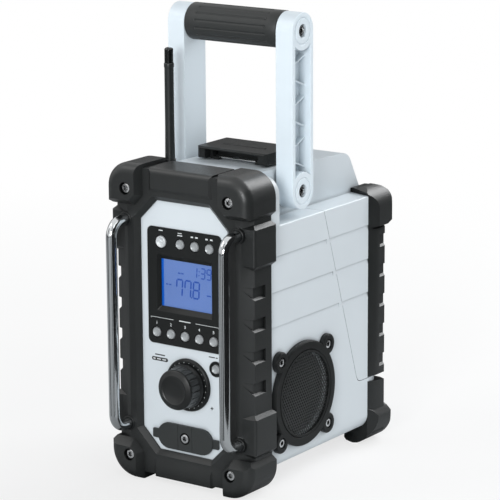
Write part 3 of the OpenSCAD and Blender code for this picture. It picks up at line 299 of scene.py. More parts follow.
# colour, roughness, stretch of the marks, their depth, widest hole darkened by painted shade, in
# metres
METALS = {
    # steel tube, bright chromium plate: mirror with faint drawing marks along its length
    "chrome": ("#D0D3D5", 0.08, (900, 900, 30), 0.04),
    "wire_chrome": ("#DADCDD", 0.12, (30, 900, 900), 0.04),
    # zinc-plated socket screws, turned steel and die-cast aluminium
    # the screws' sockets get painted shade, near black within 4 mm
    "screw_steel": ("#F6F7F8", 0.22, (500, 500, 500), 0.10, 0.004),
    "turned_steel": ("#A9ACAE", 0.30, (60, 900, 900), 0.10),
    "cast_aluminium": ("#9A9D9F", 0.45, (300, 300, 300), 0.3),
}
# colour and strength of the lit display
PANELS = {"panel": ("lit", 0.69), "panel_edge": ("leak", 0.85), "panel_ink": ("ink", 0.70)}


@functools.cache
def finish(name):
    """The material of that name, made once. A colour is a code or the name of a scene's colour."""
    for maker, rows in ((moulded, MOULDED), (metal, METALS), (lit_panel, PANELS)):
        if name in rows:
            tint, *settings = rows[name]
            named = settings.pop() if isinstance(settings[-1], dict) else {}
            tints = bpy.context.scene.radio_colours
            tint = linear(tint) if tint[0] == "#" else getattr(tints, tint)
            return maker(name, shade(tint, named.pop("tone", 1.0)), *settings, **named)
    if name != "window":
        raise KeyError(name)
    return clear_window(name)


# ---------------- surfaces


def linked(name, data):
    """A new object in the scene that shows data."""
    made = bpy.data.objects.new(name, data)
    bpy.context.scene.collection.objects.link(made)
    return made


def place(name, mesh, material, body="case", smooth=38.0):
    """The mesh as a piece riding on a body, smooth but for edges sharper than smooth degrees."""
    mesh.materials.clear()
    mesh.materials.append(finish(material))
    mesh.shade_smooth()
    mesh.set_sharp_from_angle(angle=math.radians(smooth))
    made = linked(name, mesh)
    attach(made, body)
    return made


def skin(name, verts, faces, material, body="case", smooth=38.0):
    """A mesh object from points in millimetres, its doubles merged and its normals recalculated."""
    mesh = bpy.data.meshes.new(name)
    points = (np.reshape(verts, (-1, 3)) * MM).tolist()
    mesh.from_pydata(points, [], faces if isinstance(faces, list) else faces.tolist())
    work = bmesh.new()
    work.from_mesh(mesh)
    bmesh.ops.remove_doubles(work, verts=work.verts, dist=2e-7)
    bmesh.ops.recalc_face_normals(work, faces=work.faces)
    work.to_mesh(mesh)
    work.free()
    return place(name, mesh, material, body, smooth)


def extent(node):
    """Lowest corner, highest corner and middle of a CAD node, in millimetres."""
    lo, hi = (np.array(c) * 1000 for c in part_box(node))
    return lo, hi, (lo + hi) / 2


def quads(rows, columns, closed=False):
    """Indices of the quads between neighbouring points of a grid whose rows run round; closed also
    joins the last row to the first."""
    r = np.arange(rows if closed else rows - 1)[:, None]
    c = np.arange(columns)[None, :]
    r2, c2 = (r + 1) % rows, (c + 1) % columns
    corners = [r * columns + c, r * columns + c2, r2 * columns + c2, r2 * columns + c]
    return np.stack(corners, -1).reshape(-1, 4)


def full_turn(count):
    """The angles of count equal steps round a circle."""
    return np.linspace(0, 2 * np.pi, count, endpoint=False)


def from_nearest(angles, count):
    """The angle between each direction and the nearest of count equal steps."""
    step = 2 * np.pi / count
    return np.abs((angles + step / 2) % step - step / 2)


def lathe(
    name, origin, axis, radius, height, segments, material, body="case", smooth=38.0, closed=False
):
    """Rows of points round an axis: origin + axis * height + radius * (u cos t + v sin t), with u
    and v square to the unit axis. Radius and height are numbers for each row, or each point."""
    a = np.asarray(axis, float)
    u = np.cross([0.0, 0.0, 1.0], a) if abs(a[2]) < 0.9 else np.array([1.0, 0.0, 0.0])
    u /= np.linalg.norm(u)
    t = full_turn(segments)[:, None]
    spin = u * np.cos(t) + np.cross(a, u) * np.sin(t)
    points = np.asarray(origin) + a * height[..., None] + spin * radius[..., None]
    return skin(name, points, quads(len(points), segments, closed), material, body, smooth)


def rounded_profile(points, steps=5):
    """A profile of (radius, height) or (radius, height, rounding), the rounded corners replaced by
    arcs: a quadratic curve between the two points that lie rounding away from the corner."""
    out = []
    for i, (x, y, *r) in enumerate(points):
        here = np.array([x, y], float)
        if not r:
            out.append(here[None])
            continue
        before, after = (np.array(points[i + s][:2], float) for s in (-1, 1))
        a = here + (before - here) / np.linalg.norm(before - here) * r
        b = here + (after - here) / np.linalg.norm(after - here) * r
        t = np.linspace(0, 1, steps)[:, None]
        out.append((1 - t) ** 2 * a + 2 * t * (1 - t) * here + t**2 * b)
    return np.concatenate(out)


def turned(name, profile, origin, axis, material, segments, body="case"):
    """A body of revolution: the rounded profile carried once round the axis, in millimetres."""
    line = rounded_profile(profile)
    return lathe(name, origin, axis, line[:, :1], line[:, 1:], segments, material, body)


def washer(inner, outer, surface):
    """The profile of a thin ring that lies on a surface and stands 0.05 mm proud of it."""
    top, low = surface - 0.05, surface + SUNK
    return [(inner, low), (inner, top), (outer, top), (outer, low), (inner, low)]


def joined(name, objects):
    """Several meshes of one material as one piece."""
    work = bmesh.new()
    for one in objects:
        work.from_mesh(one.data)
    mesh = objects[0].data
    work.to_mesh(mesh)
    work.free()
    for one in objects[1:]:
        bpy.data.objects.remove(one)
    objects[0].name = name
    mesh.name = name
    return objects[0]


def plates(name, outlines, front, back, material, body="case"):
    """Flat plates seen from the front: outlines is an array (plates, corners, 2) of X and Z in
    millimetres, carried from y = front to y = back."""
    flat = np.asarray(outlines, float)
    count, corners = flat.shape[:2]
    rings = [np.insert(flat, 1, y, axis=-1) for y in (front, back)]
    base = (np.arange(count) * 2 * corners)[:, None]
    turn = np.arange(corners)
    after = (turn + 1) % corners
    sides = np.stack([turn, after, after + corners, turn + corners], -1)
    faces = (base[:, :, None] + sides[None]).reshape(-1, 4).tolist()
    faces += (base + turn[None]).tolist() + (base + corners + turn[None, ::-1]).tolist()
    return skin(name, np.concatenate(rings, 1), faces, material, body, 30.0)


def panes(*spans):
    """Outlines of upright rectangles, each from (x0, z0, x1, z1)."""
    return [[(x0, z0), (x1, z0), (x1, z1), (x0, z1)] for x0, z0, x1, z1 in spans]


def pill_outline(x0, z0, x1, z1, count=24):
    """An outline with half-round ends: a circle of the height, its halves moved apart."""
    r = (z1 - z0) / 2
    t = full_turn(count) + np.pi / count
    x = np.where(np.cos(t) > 0, x1 - r, x0 + r) + r * np.cos(t)
    return np.stack([x, (z0 + z1) / 2 + r * np.sin(t)], -1)


def swept(name, path, radius, across, material, segments):
    """A round bar along a path that lies in the plane square to across, in millimetres: at each
    point the circle is radius * (n cos t + across sin t), where n stands square to the path. The
    ends close in poles."""
    ahead = np.gradient(path, axis=0)
    ahead /= np.linalg.norm(ahead, axis=1)[:, None]
    t = full_turn(segments)[:, None]
    circle = np.cross(ahead, across)[:, None] * np.cos(t) + np.asarray(across) * np.sin(t)
    first, last = (np.broadcast_to(path[i], (1, segments, 3)) for i in (0, -1))
    rows = np.concatenate([first, path[:, None] + circle * radius, last])
    return skin(name, rows, quads(len(rows), segments), material, smooth=50.0)


def arc(centre, r, start, end, count=13):
    """Points (a, b) of an arc in a plane, from start to end in degrees."""
    t = np.radians(np.linspace(start, end, count))
    return np.stack([centre[0] + r * np.cos(t), centre[1] + r * np.sin(t)], -1)


def islands(node):
    """(lowest corner, highest corner) of each loose part of a CAD node, in millimetres: labels
    spread along the merged edges until they settle."""
    mesh = frame["nodes"][node].data
    points = np.array([v.co[:] for v in mesh.vertices])
    _, same = np.unique(points.round(6), axis=0, return_inverse=True)
    ends = same.ravel()[np.array([e.vertices[:] for e in mesh.edges])]
    label, last = np.arange(same.max() + 1), None
    while not np.array_equal(label, last):
        last = label.copy()
        for end in ends.T:
            np.minimum.at(label, end, last[ends].min(1))
        label = label[label]
    owner = label[same.ravel()]
    parts = [points[owner == k] * 1000 for k in np.unique(owner)]
    return [(part.min(0), part.max(0)) for part in parts]


def bevelled(work, edges, width, segments, **further):
    """Rounds edges of a bmesh; the rounding stops where it would meet another."""
    further.update(profile=0.5, affect="EDGES", clamp_overlap=True)
    bmesh.ops.bevel(work, geom=edges, offset=width, segments=segments, **further)


def softened(node, material, width, crisp=(), foot=0.0):
    """A copy of a CAD node as moulded: its triangles are merged into faces, and each edge sharper
    than 24 degrees gets a rounding of width, but for level edges at the heights in crisp. The long
    lower edges at the sides get the rounding foot first. The copy stands for the node."""
    source = frame["nodes"][node]
    mesh = source.data.copy()
    mesh.name = node + "_moulded"
    work = bmesh.new()
    work.from_mesh(mesh)
    bmesh.ops.remove_doubles(work, verts=work.verts, dist=3e-6)
    flat = math.radians(1.0)
    bmesh.ops.dissolve_limit(work, angle_limit=flat, verts=work.verts, edges=work.edges)
    if foot:
        lo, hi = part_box(node)
        floor, side = lo.z + 1e-5, hi.x - 1e-5
        low = [e for e in work.edges if all(v.co.z < floor and abs(v.co.x) > side for v in e.verts)]
        bevelled(work, low, foot, 8)
    sharp = [
        e
        for e in work.edges
        if len(e.link_faces) == 2
        and e.calc_face_angle(0.0) > math.radians(24.0)
        and not any(all(abs(v.co.z - h) < 2e-4 for v in e.verts) for h in crisp)
    ]
    bevelled(work, sharp, width, 3, loop_slide=True)
    bmesh.ops.triangulate(work, faces=[f for f in work.faces if len(f.verts) > 4])
    work.to_mesh(mesh)
    work.free()
    made = place(mesh.name, mesh, material, source["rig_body"], 40.0)
    even = made.modifiers.new("face_weights", "WEIGHTED_NORMAL")
    even.keep_sharp = True
    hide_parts(node)
    return made


# ---------------- pieces


class RADIO_OT_shells(bpy.types.Operator):
    """White housing, door, fascia and handle arms"""

    bl_idname = "radio.shells"
    bl_label = "Housing and arms"

    def execute(self, context):
        s = context.scene.radio_sizes
        # the three grooves along the sides keep their crisp edges
        crisp = [(low + 33.2 * i) * MM for i in range(3) for low in (151.4, 156.7)]
        for node, foot in (("main_housing", s.foot_edge), ("door_shell", 0)):
            softened(node, "case_abs", s.shell_edge, crisp=crisp, foot=foot)
        softened("front_fascia", "case_abs", 0.0004)
        for node in ("handle_arm_left", "handle_arm_right"):
            softened(node, "arm_abs", s.arm_edge)
        return {"FINISHED"}


class RADIO_OT_bumpers(bpy.types.Operator):
    """Front and rear elastomer bumpers"""

    bl_idname = "radio.bumpers"
    bl_label = "Bumpers"

    def execute(self, context):
        s = context.scene.radio_sizes
        for node in ("front_bumper", "rear_bumper_lower", "rear_bumper_upper"):
            softened(node, "bumper_elastomer", s.rubber_edge)
        return {"FINISHED"}


class RADIO_OT_small_parts(bpy.types.Operator):
    """Finishes of the solids that are shown as they are"""

    bl_idname = "radio.small_parts"
    bl_label = "Small parts"

    def execute(self, context):
        for material, names in {
            "dark_abs": ("dc_jack", "battery_rail", "lcd_module"),
            "grip_rubber": ("door_seal",),
            "cast_aluminium": ("speaker_basket_left", "speaker_basket_right"),
            "board": ("control_board", "amplifier_board"),
            "chrome": ("knob_spindle",),
            "turned_steel": (
                "aux_jack", "encoder_body", "door_hinge_pin", "latch_pin", "handle_core"
            ),
            "wire_chrome": ("latch_wire",),
            "window": ("lcd_window",),
        }.items():
            for name in names:
                mesh = frame["nodes"][name].data
                mesh.materials.clear()
                mesh.materials.append(finish(material))
        return {"FINISHED"}


def key_profile(radius, front, foot, rings=False):
    """Profile of a key: a rounded rim round a bowl 1.3 mm deep, down to its foot flange. With
    rings, the bowl has a button and a step in its middle."""
    rim = [(0, front + 1.0), (radius * 0.4, front + 0.85, 1.2), (radius - 1.1, front - 0.05, 0.5)]
    if rings:
        rim = [
            (0, front + 0.35), (radius * 0.2, front + 0.4, 0.3), (radius * 0.27, front + 1.05, 0.3),
            (radius * 0.56, front + 0.7, 0.3), (radius * 0.62, front + 0.2, 0.3),
            (radius - 1.2, front - 0.2, 0.4),
        ]
    return rim + [
        (radius - 0.65, front - 0.3, 0.3), (radius, front + 0.5, 0.5), (radius, foot),
        (radius + FLANGE, foot), (radius + FLANGE, foot + 1.2), (1.6, foot + 1.2),
    ]


class RADIO_OT_keys(bpy.types.Operator):
    """Ten silver keys with a dished face, and a ring of painted shade round all but the scan key"""

    bl_idname = "radio.keys"
    bl_label = "Keys"

    def execute(self, context):
        glass, face = (extent(node)[0][1] for node in ("lcd_window", "display_bezel"))
        shaded_wells = []
        names = ["power_key", "scan_key"] + [f"function_key_{i}" for i in (1, 2, 3)]
        for node in names + [f"preset_key_{i}" for i in range(1, 6)]:
            lo, hi, (x, _, z) = extent(node)
            radius, rear = (hi[0] - lo[0]) / 2 - FLANGE, hi[1]
            bright = node == "power_key"
            profile = key_profile(radius, lo[1] + 0.4, glass + 0.3, bright)
            profile += [(1.6, rear, 0.3), (0, rear)]
            tone = "power_lacquer" if bright else "silver_keys"
            body = frame["nodes"][node]["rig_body"]
            made = turned(node + "_cap", profile, (x, 0, z), FORWARD, tone, 48, body)
            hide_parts(node)
            if node != "scan_key":
                shaded_wells.append((x, z, radius))
        rings = [
            # painted shade: a flat black ring for the shadowed countersink round the key
            turned(f"well_{i}", washer(r + 0.7, r + 1.2, face), (x, 0, z), FORWARD, "gloss_cap", 48)
            for i, (x, z, r) in enumerate(shaded_wells)
        ]
        joined("key_wells", rings)
        return {"FINISHED"}


SEGMENTS = {"1": "bc", "3": "abgcd", "7": "fabc", "8": "abcdefg", "9": "abcdfg"}


def seven_segments(text, x, z, height, wide, step, thick, slant=0.07):
    """Outlines of seven-segment digits: six-cornered bars on the sides of two stacked squares,
    leaned over by slant, from the left edge x and the lower edge z."""
    half, gap = height / 2, thick * 0.12
    ends = {
        "a": ((0, height), (wide, height)),
        "b": ((wide, half), (wide, height)),
        "c": ((wide, 0), (wide, half)),
        "d": ((0, 0), (wide, 0)),
        "e": ((0, 0), (0, half)),
        "f": ((0, half), (0, height)),
        "g": ((0, half), (wide, half)),
    }
    bars = [(i, *ends[letter]) for i, sign in enumerate(text) for letter in SEGMENTS[sign]]
    start, end = (np.array([b[k] for b in bars], float) for k in (1, 2))
    along = (end - start) / np.linalg.norm(end - start, axis=1)[:, None]
    side = np.stack([-along[:, 1], along[:, 0]], -1) * thick / 2
    a, b = start + along * gap, end - along * gap
    tip = along * thick / 2
    shape = np.stack([a, a + tip + side, b - tip + side, b, b - tip - side, a + tip - side], 1)
    shape = shape + np.array([b[0] for b in bars])[:, None, None] * [step, 0]
    shape[..., 0] += shape[..., 1] * slant
    return shape + [x, z]


def printed_number(sign, x, z, height, front):
    """A printed number: its curve as a mesh, stood up and set just proud of y = front."""
    curve = bpy.data.curves.new("number_" + sign, "FONT")
    curve.body = sign
    curve.size = 1.42 * height  # a digit is 1 / 1.42 of the letter size
    curve.align_x = "CENTER"
    curve.extrude = 0.00004
    curve.offset = 0.00008
    holder = linked("number_" + sign, curve)
    bpy.context.view_layer.update()
    depsgraph = bpy.context.evaluated_depsgraph_get()
    mesh = bpy.data.meshes.new_from_object(holder.evaluated_get(depsgraph))
    bpy.data.objects.remove(holder)
    stand = Matrix.Rotation(math.radians(90), 4, "X")
    mesh.transform(Matrix.Translation((x * MM, (front - SUNK) * MM, z * MM)) @ stand)
    return place("number_" + sign, mesh, "print", smooth=30.0)


# on the display: the decimal point, the clock's colon, and dashes for the legends
MARKS = panes(
    (3.3, 180.9, 4.6, 182.2), (12.3, 203.4, 13.3, 204.4), (12.6, 207.2, 13.6, 208.2),
    (-11.2, 202.4, -8.4, 203.6), (-7.6, 202.4, -4.8, 203.6), (-25.2, 190.2, -22.6, 191.4),
    (-21.8, 190.2, -19.2, 191.4), (21.4, 185.2, 26.2, 186.4),
)
# on the bezel: brackets over the preset keys, then dashes at the upper row
LINES = panes(
    (-39.1, 158.9, -12.9, 159.3), (12.6, 158.9, 38.6, 159.3), (-39.1, 157.9, -38.7, 159.3),
    (38.2, 157.9, 38.6, 159.3), (-6.5, 158.7, 6.5, 159.6), (-28.8, 242.2, -24.2, 243.1),
    (-6.9, 242.0, -2.3, 242.8), (-7.4, 239.8, -1.8, 240.7), (8.0, 240.0, 10.6, 241.4),
    (13.0, 240.0, 15.9, 241.4), (24.6, 240.0, 27.2, 241.4), (29.8, 240.0, 32.6, 241.4),
)
# on the fascia: dashes at the knob and the scan key, and a plus sign; light dashes on the lozenge
LABELS = panes(
    (-35.6, 122.2, -24.2, 123.3), (26.6, 129.3, 33.4, 130.3), (34.4, 129.3, 36.6, 130.3),
    (28.0, 80.05, 31.2, 80.95), (29.15, 78.9, 30.05, 82.1),
)
LOZENGE = panes(
    (-37.6, 118.0, -35.2, 119.2), (-33.4, 118.0, -29.0, 119.2), (-27.2, 118.0, -23.0, 119.2)
)


class RADIO_OT_display(bpy.types.Operator):
    """Backlit display with its digits, and the printed lines and numbers of the panels"""

    bl_idname = "radio.display"
    bl_label = "Display and print"

    def execute(self, context):
        s = context.scene.radio_sizes
        lo, hi, _ = extent("lcd_module")
        ink_at = (lo[1] - 0.09, lo[1] - 0.04)
        seam = -27.5  # X where the deep blue edge meets the even ground
        for name, x0, x1, material in (
            ("display_ground", seam, hi[0] - 0.2, "panel"),
            ("display_edge", lo[0] + 0.2, seam, "panel_edge"),
        ):
            pane = panes((x0, lo[2] + 0.2, x1, hi[2] - 0.2))
            plates(name, pane, lo[1] - 0.04, lo[1], material)

        big, small = s.digit_height * 1000, s.clock_height * 1000
        digits = [
            seven_segments("778", -13.6, 181.4, big, 6.6, 9.6, 1.6),
            seven_segments("1", 6.1, 201.2, small, 3.9, 5.6, 1.15),
            seven_segments("39", 14.6, 201.2, small, 4.6, 6.9, 1.15),
        ]
        ink = [
            plates("digits", np.concatenate(digits), *ink_at, "panel_ink"),
            plates("marks", MARKS, *ink_at, "panel_ink"),
        ]
        joined("display_digits", ink)

        front = extent("display_bezel")[0][1]
        white = [plates("lines", LINES, front - 0.06, front + SUNK, "print")]
        for i in range(1, 6):
            x = 16.3 * (i - 3) + 0.2
            white.append(printed_number(str(i), x, 152.6, s.legend_height, front))
        joined("white_print", white)

        front = extent("front_fascia")[0][1]
        print_at = (front - 0.06, front + SUNK)
        lozenge = [pill_outline(-39.4, 116.8, -20.6, 120.4)]
        black = [
            plates("lozenge", lozenge, *print_at, "black_print"),
            plates("labels", LABELS, *print_at, "black_print"),
        ]
        joined("black_print", black)
        marks = plates("lozenge_marks", LOZENGE, front - 0.1, front - 0.05, "print")
        return {"FINISHED"}


def fluted(profile, flutes, depth, y0, y1):
    """Radius and height of a turned profile with flutes, 12 points to each: the radius is less by
    depth * exp(-(arc / 0.42)^2) with arc the distance to the nearest flute, faded out over half a
    millimetre at y0 and y1. The longest wall gets the rows that the fading needs."""
    line = rounded_profile(profile)
    middle = np.linspace(y0 + 2, y1 - 2, 5)
    rows = [np.linspace(y0 - 0.5, y0 + 1.2, 6), middle, np.linspace(y1 - 1.2, y1 + 0.5, 6)]
    rows = np.concatenate(rows)
    wall = np.where(np.abs(np.diff(line[:, 0])) < 1e-6)[0]
    at = wall[np.argmax(np.diff(line[:, 1])[wall])]
    side = np.stack([np.full(len(rows), line[at, 0]), rows], -1)
    line = np.concatenate([line[: at + 1], side, line[at + 1 :]])
    off = from_nearest(full_turn(flutes * 12), flutes) * line[:, :1]
    fade = 1 / (1 + np.exp(-(line[:, 1] - y0) / 0.15)) / (1 + np.exp((line[:, 1] - y1) / 0.15))
    outer = line[:, 0] > line[at, 0] - 0.5
    cut = depth * np.exp(-((off / 0.42) ** 2)) * (fade * outer)[:, None]
    return line[:, :1] - cut, line[:, 1:]


class RADIO_OT_knob(bpy.types.Operator):
    """Volume knob with flutes, its skirt and the dots round it"""

    bl_idname = "radio.knob"
    bl_label = "Volume knob"

    def execute(self, context):
        s = context.scene.radio_sizes
        lo, hi, (x, _, z) = extent("volume_knob")
        front, rear, r = lo[1], hi[1], (hi[0] - lo[0]) / 2 - FLANGE
        # over the dished face and down the fluted wall to the foot, then the bore
        profile = [
            (0, front + 2.4), (r * 0.40, front + 2.1, 3.0), (r * 0.66, front + 0.5, 0.6),
            (r * 0.70, front, 0.4), (r * 0.74, front + 0.1, 0.4), (r * 0.955, front + 1.7, 0.5),
            (r, front + 3.0, 0.8), (r, rear - 4, 0.8), (r + FLANGE, rear - 2, 0.6),
            (r + FLANGE, rear, 0.3), (12, rear), (12, rear - 6), (3.06, rear - 6),
            (3.06, front + 4.7), (0, front + 4.7),
        ]
        at = (x, 0, z)
        rows = fluted(profile, s.flutes, 0.85, front + 4.4, rear - 4.6)
        made = lathe("knob_fluted", at, FORWARD, *rows, s.flutes * 12, "knob_abs", "knob", 45.0)
        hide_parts("volume_knob")

        lo, hi, _ = extent("knob_skirt")
        r, front, rear = (hi[0] - lo[0]) / 2, lo[1], hi[1]
        rim = [
            (6, front + 0.9), (r - 5.6, front + 0.9, 0.3), (r - 5.2, front + 0.2, 0.3),
            (r - 1.6, front, 0.6), (r, front + 1.5, 0.6), (r, rear), (6, rear), (6, front + 0.9),
        ]
        made = turned("knob_skirt_turned", rim, at, FORWARD, "dark_abs", 96)
        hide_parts("knob_skirt")
        turn = np.radians(np.arange(0, 360, 15) + 7.5)
        centres = np.stack([x + (r - 3.3) * np.cos(turn), z + (r - 3.3) * np.sin(turn)], -1)
        t = full_turn(8)
        discs = centres[:, None] + 0.36 * np.stack([np.cos(t), np.sin(t)], -1)
        dots = plates("knob_dots", discs, front - SUNK, front + 0.2, "print")
        return {"FINISHED"}


class RADIO_OT_grip(bpy.types.Operator):
    """Rubber grip with long grooves that end in a round dimple"""

    bl_idname = "radio.grip"
    bl_label = "Grip"

    def execute(self, context):
        s = context.scene.radio_sizes
        lo, hi, (_, y, z) = extent("handle_grip")
        r, half = (hi[2] - lo[2]) / 2, (hi[0] - lo[0]) / 2
        width, depth = s.groove_width * 1000, s.groove_depth * 1000
        segments = s.grooves * 16
        reach = half - 13
        near = np.linspace(-1.9, 1.9, 15)
        middle = np.linspace(-reach + 3, reach - 3, 22)
        x = np.concatenate([[-half + 0.9], near - reach, middle, near + reach, [half - 0.9]])
        off = from_nearest(full_turn(segments), s.grooves) * r
        past = np.abs(x)[:, None] - reach

        # depth of a groove, and of the dimple at its end: a smooth step of the way to its middle
        away = np.sqrt(off**2 + np.maximum(past, 0) ** 2)
        cut = depth / (1 + np.exp((away - width / 2) / 0.09))
        dimple = np.sqrt(off**2 + past**2)
        cut = np.maximum(cut, 1.5 * depth / (1 + np.exp((dimple - width * 0.72) / 0.09)))
        ends = np.array([[8.05], [r - 0.9]]) * np.ones(segments)
        radius = np.concatenate([ends, r - cut, ends[::-1]])
        along = np.concatenate([[-half, -half], x, [half, half]])[:, None]
        rows = (0, y, z), (1, 0, 0), radius, along, segments
        made = lathe("grip_grooved", *rows, "grip_rubber", "handle", 50.0, closed=True)
        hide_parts("handle_grip")
        return {"FINISHED"}


def perforated(x, y, z, radius, pitch, hole, side, thick=0.5):
    """Points and faces of a round sheet of staggered holes, square to X: each hole is ringed by a
    six-sided cell of the triangular lattice, and corners beyond the edge are drawn back to it."""
    n = int(radius / pitch) + 3
    i, j = np.meshgrid(np.arange(-n, n + 1), np.arange(-n, n + 1))
    centres = np.stack([(i + 0.5 * (j % 2)) * pitch, j * pitch * math.sqrt(3) / 2], -1)
    centres = centres.reshape(-1, 2)
    centres = centres[np.linalg.norm(centres, axis=1) < radius - hole * 0.62]
    t = np.radians(np.arange(0, 360, 30) + 30)
    reach = np.where(np.arange(12) % 2 == 0, pitch / math.sqrt(3), pitch / 2)
    spin = np.stack([np.cos(t), np.sin(t)], -1)
    outer = centres[:, None] + spin * reach[:, None]
    outer = outer * np.minimum(1, radius / np.linalg.norm(outer, axis=-1, keepdims=True))
    inner = centres[:, None] + spin * hole / 2
    flat = np.stack([outer, inner, inner, outer], 1)
    level = side * thick * np.array([1, 1, 0, 0])[:, None]
    # domed by 1 mm: what is left of the radius squared, as a share
    dome = side * (1 - (flat**2).sum(-1) / radius**2)
    points = np.concatenate([(x + level + dome)[..., None], flat + [y, z]], -1)
    faces = (np.arange(len(centres)) * 48)[:, None, None] + quads(4, 12)[None]
    return points, faces.reshape(-1, 4)


# a cone from its dust cap over the paper and the rubber roll to the rim, and back behind them
CONE = [
    (0, -13.2), (6, -13.9, 2), (9.4, -17, 0.5), (11, -16.2, 0.5), (30, -1.5, 1), (31.2, -0.3, 0.5),
    (33, 1.2, 1.2), (35.2, 0.9, 0.9), (36.4, -0.6, 0.3), (39, -0.6), (39, -1.6), (36, -1.6),
    (33, 0), (30.4, -3), (9, -20), (0, -20),
]


class RADIO_OT_speakers(bpy.types.Operator):
    """Perforated grilles, their rims, and the cones behind them"""

    bl_idname = "radio.speakers"
    bl_label = "Speakers"

    def execute(self, context):
        s = context.scene.radio_sizes
        pitch, hole = s.hole_pitch * 1000, s.hole_diameter * 1000
        for side, word in ((1, "right"), (-1, "left")):
            inner, outer = (0, 1) if side > 0 else (1, 0)  # of an extent's corners
            node = "speaker_mesh_" + word
            corners = extent(node)
            _, y, z = corners[2]
            radius = (corners[1][2] - corners[0][2]) / 2 - 0.1
            sheet = perforated(corners[inner][0] + side * 0.7, y, z, radius, pitch, hole, side)
            sheet = skin("grille_" + word, *sheet, "grille_sheet", smooth=30.0)
            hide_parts(node)

            node = "speaker_cone_" + word
            x = extent(node)[outer][0] - side * 1.2
            made = turned("cone_pressed_" + word, CONE, (x, y, z), (side, 0, 0), "cone_paper", 96)
            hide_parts(node)
            node = "speaker_ring_" + word
            ring = softened(node, "dark_abs", 0.0006)
            x = extent(node)[outer][0]
            lip = [(39.45, -1.2), (39.45, -0.1, 0.3), (41.6, -0.02), (41.6, -1.2), (39.45, -1.2)]
            fill = turned("ring_lip_" + word, lip, (x, y, z), (side, 0, 0), "dark_abs", 128)
        return {"FINISHED"}


def socket_head(name, face, axis, radius, length, shank, body):
    """A socket-head screw from the middle of its face, axis pointing out of the head: rows of
    circles, and of six-sided rows r = a / cos(t) for the key's recess, from the floor of the recess
    over the rim and down the shank."""
    six = radius * 0.47 / np.cos(from_nearest(full_turn(48), 6))
    rows = [
        (0, -2.2), (six * 0.96, -2.0), (six, -0.5), (np.minimum(six * 1.1, radius * 0.66), 0.0),
        (radius * 0.86, 0.0), (radius * 0.96, -0.15), (radius, -0.5), (radius, -2.7),
        (shank, -2.7), (shank, -length), (0, -length),
    ]
    radii = np.stack([np.broadcast_to(r, 48) for r, _ in rows])
    heights = np.array([[h] for _, h in rows])
    return lathe(name, face, axis, radii, heights, 48, "screw_steel", body, 35.0)


class RADIO_OT_screws(bpy.types.Operator):
    """Socket screws of the bumper, the port cover, the speaker rings and the handle"""

    bl_idname = "radio.screws"
    bl_label = "Screws"

    def execute(self, context):
        for node, axis, body in (
            ("front_screws", 1, "case"),
            ("speaker_screws", 0, "case"),
            ("pivot_bolts", 0, "case"),
            ("handle_screws", 0, "handle"),
        ):
            heads = []
            for i, (lo, hi) in enumerate(islands(node)):
                face, out = (lo + hi) / 2, np.zeros(3)
                out[axis] = -1 if axis == 1 or face[0] < 0 else 1
                face[axis] = lo[axis] if out[axis] < 0 else hi[axis]
                radius, long = (hi[2] - lo[2]) / 2, hi[axis] - lo[axis]
                if node == "front_screws" and abs(face[0]) > 30:
                    # the bumper's screws have a wider head that stands nearer to the pad's face
                    face[1] -= 1.6
                    long += 1.6
                    radius += 0.45
                shank = radius * (0.99 if node == "pivot_bolts" else 0.45)
                heads.append(socket_head(f"{node}_{i}", face, out, radius, long, shank, body))
            whole = joined(node + "_socketed", heads)
            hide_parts(node)
        return {"FINISHED"}


class RADIO_OT_bars(bpy.types.Operator):
    """Bright grab bars in front of the radio, their collars, and the antenna"""

    bl_idname = "radio.bars"
    bl_label = "Bars and antenna"

    def execute(self, context):
        bend = 14.0  # mm, radius of a bar's bends
        for word in ("left", "right"):
            node = "grab_bar_" + word
            lo, hi, (x, _, _) = extent(node)
            r = (hi[0] - lo[0]) / 2
            front, low, high = lo[1] + r, lo[2] + r, hi[2] - r
            into = np.linspace(hi[1], front + bend + 0.5, 6)
            upright = np.linspace(low + bend + 2, high - bend - 2, 40)
            flat = np.concatenate(
                [
                    np.stack([into, np.full(6, low)], -1),
                    arc((front + bend, low + bend), bend, 270, 180),
                    np.stack([np.full(40, front), upright], -1),
                    arc((front + bend, high - bend), bend, 180, 90),
                    np.stack([into[::-1], np.full(6, high)], -1),
                ]
            )
            path = np.insert(flat, 0, x, axis=-1)
            made = swept("bar_bent_" + word, path, r, (1, 0, 0), "chrome", 48)
            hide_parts(node)
        softened("bar_collars", "dark_abs", 0.0004)

        lo, hi, (x, y, _) = extent("antenna_rod")
        cap_lo, cap_hi, _ = extent("antenna_cap")
        r, foot, cap, top = (hi[0] - lo[0]) / 2, lo[2], cap_lo[2], cap_hi[2]
        rod = [(0, foot), (r, foot), (r - 0.35, foot + 30), (r - 0.35, cap - 4.6, 0.2)]
        rod += [(r, cap - 4.2, 0.3), (r, cap - 0.6, 0.4), (r - 0.8, cap - 0.05), (0, cap - 0.05)]
        made = turned("antenna_sleeve", rod, (x, y, 0), UPWARD, "antenna_nylon", 40)
        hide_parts("antenna_rod")
        r = (cap_hi[0] - cap_lo[0]) / 2
        tip = [(0, cap), (r - 0.5, cap), (r - 0.5, top - 1.6, 0.3), (r - 1.2, top - 0.4, 0.5)]
        tip += [(r - 2, top, 0.4), (0, top)]
        made = turned("antenna_tip", tip, (x, y, 0), UPWARD, "gloss_cap", 40)
        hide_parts("antenna_cap")
        return {"FINISHED"}


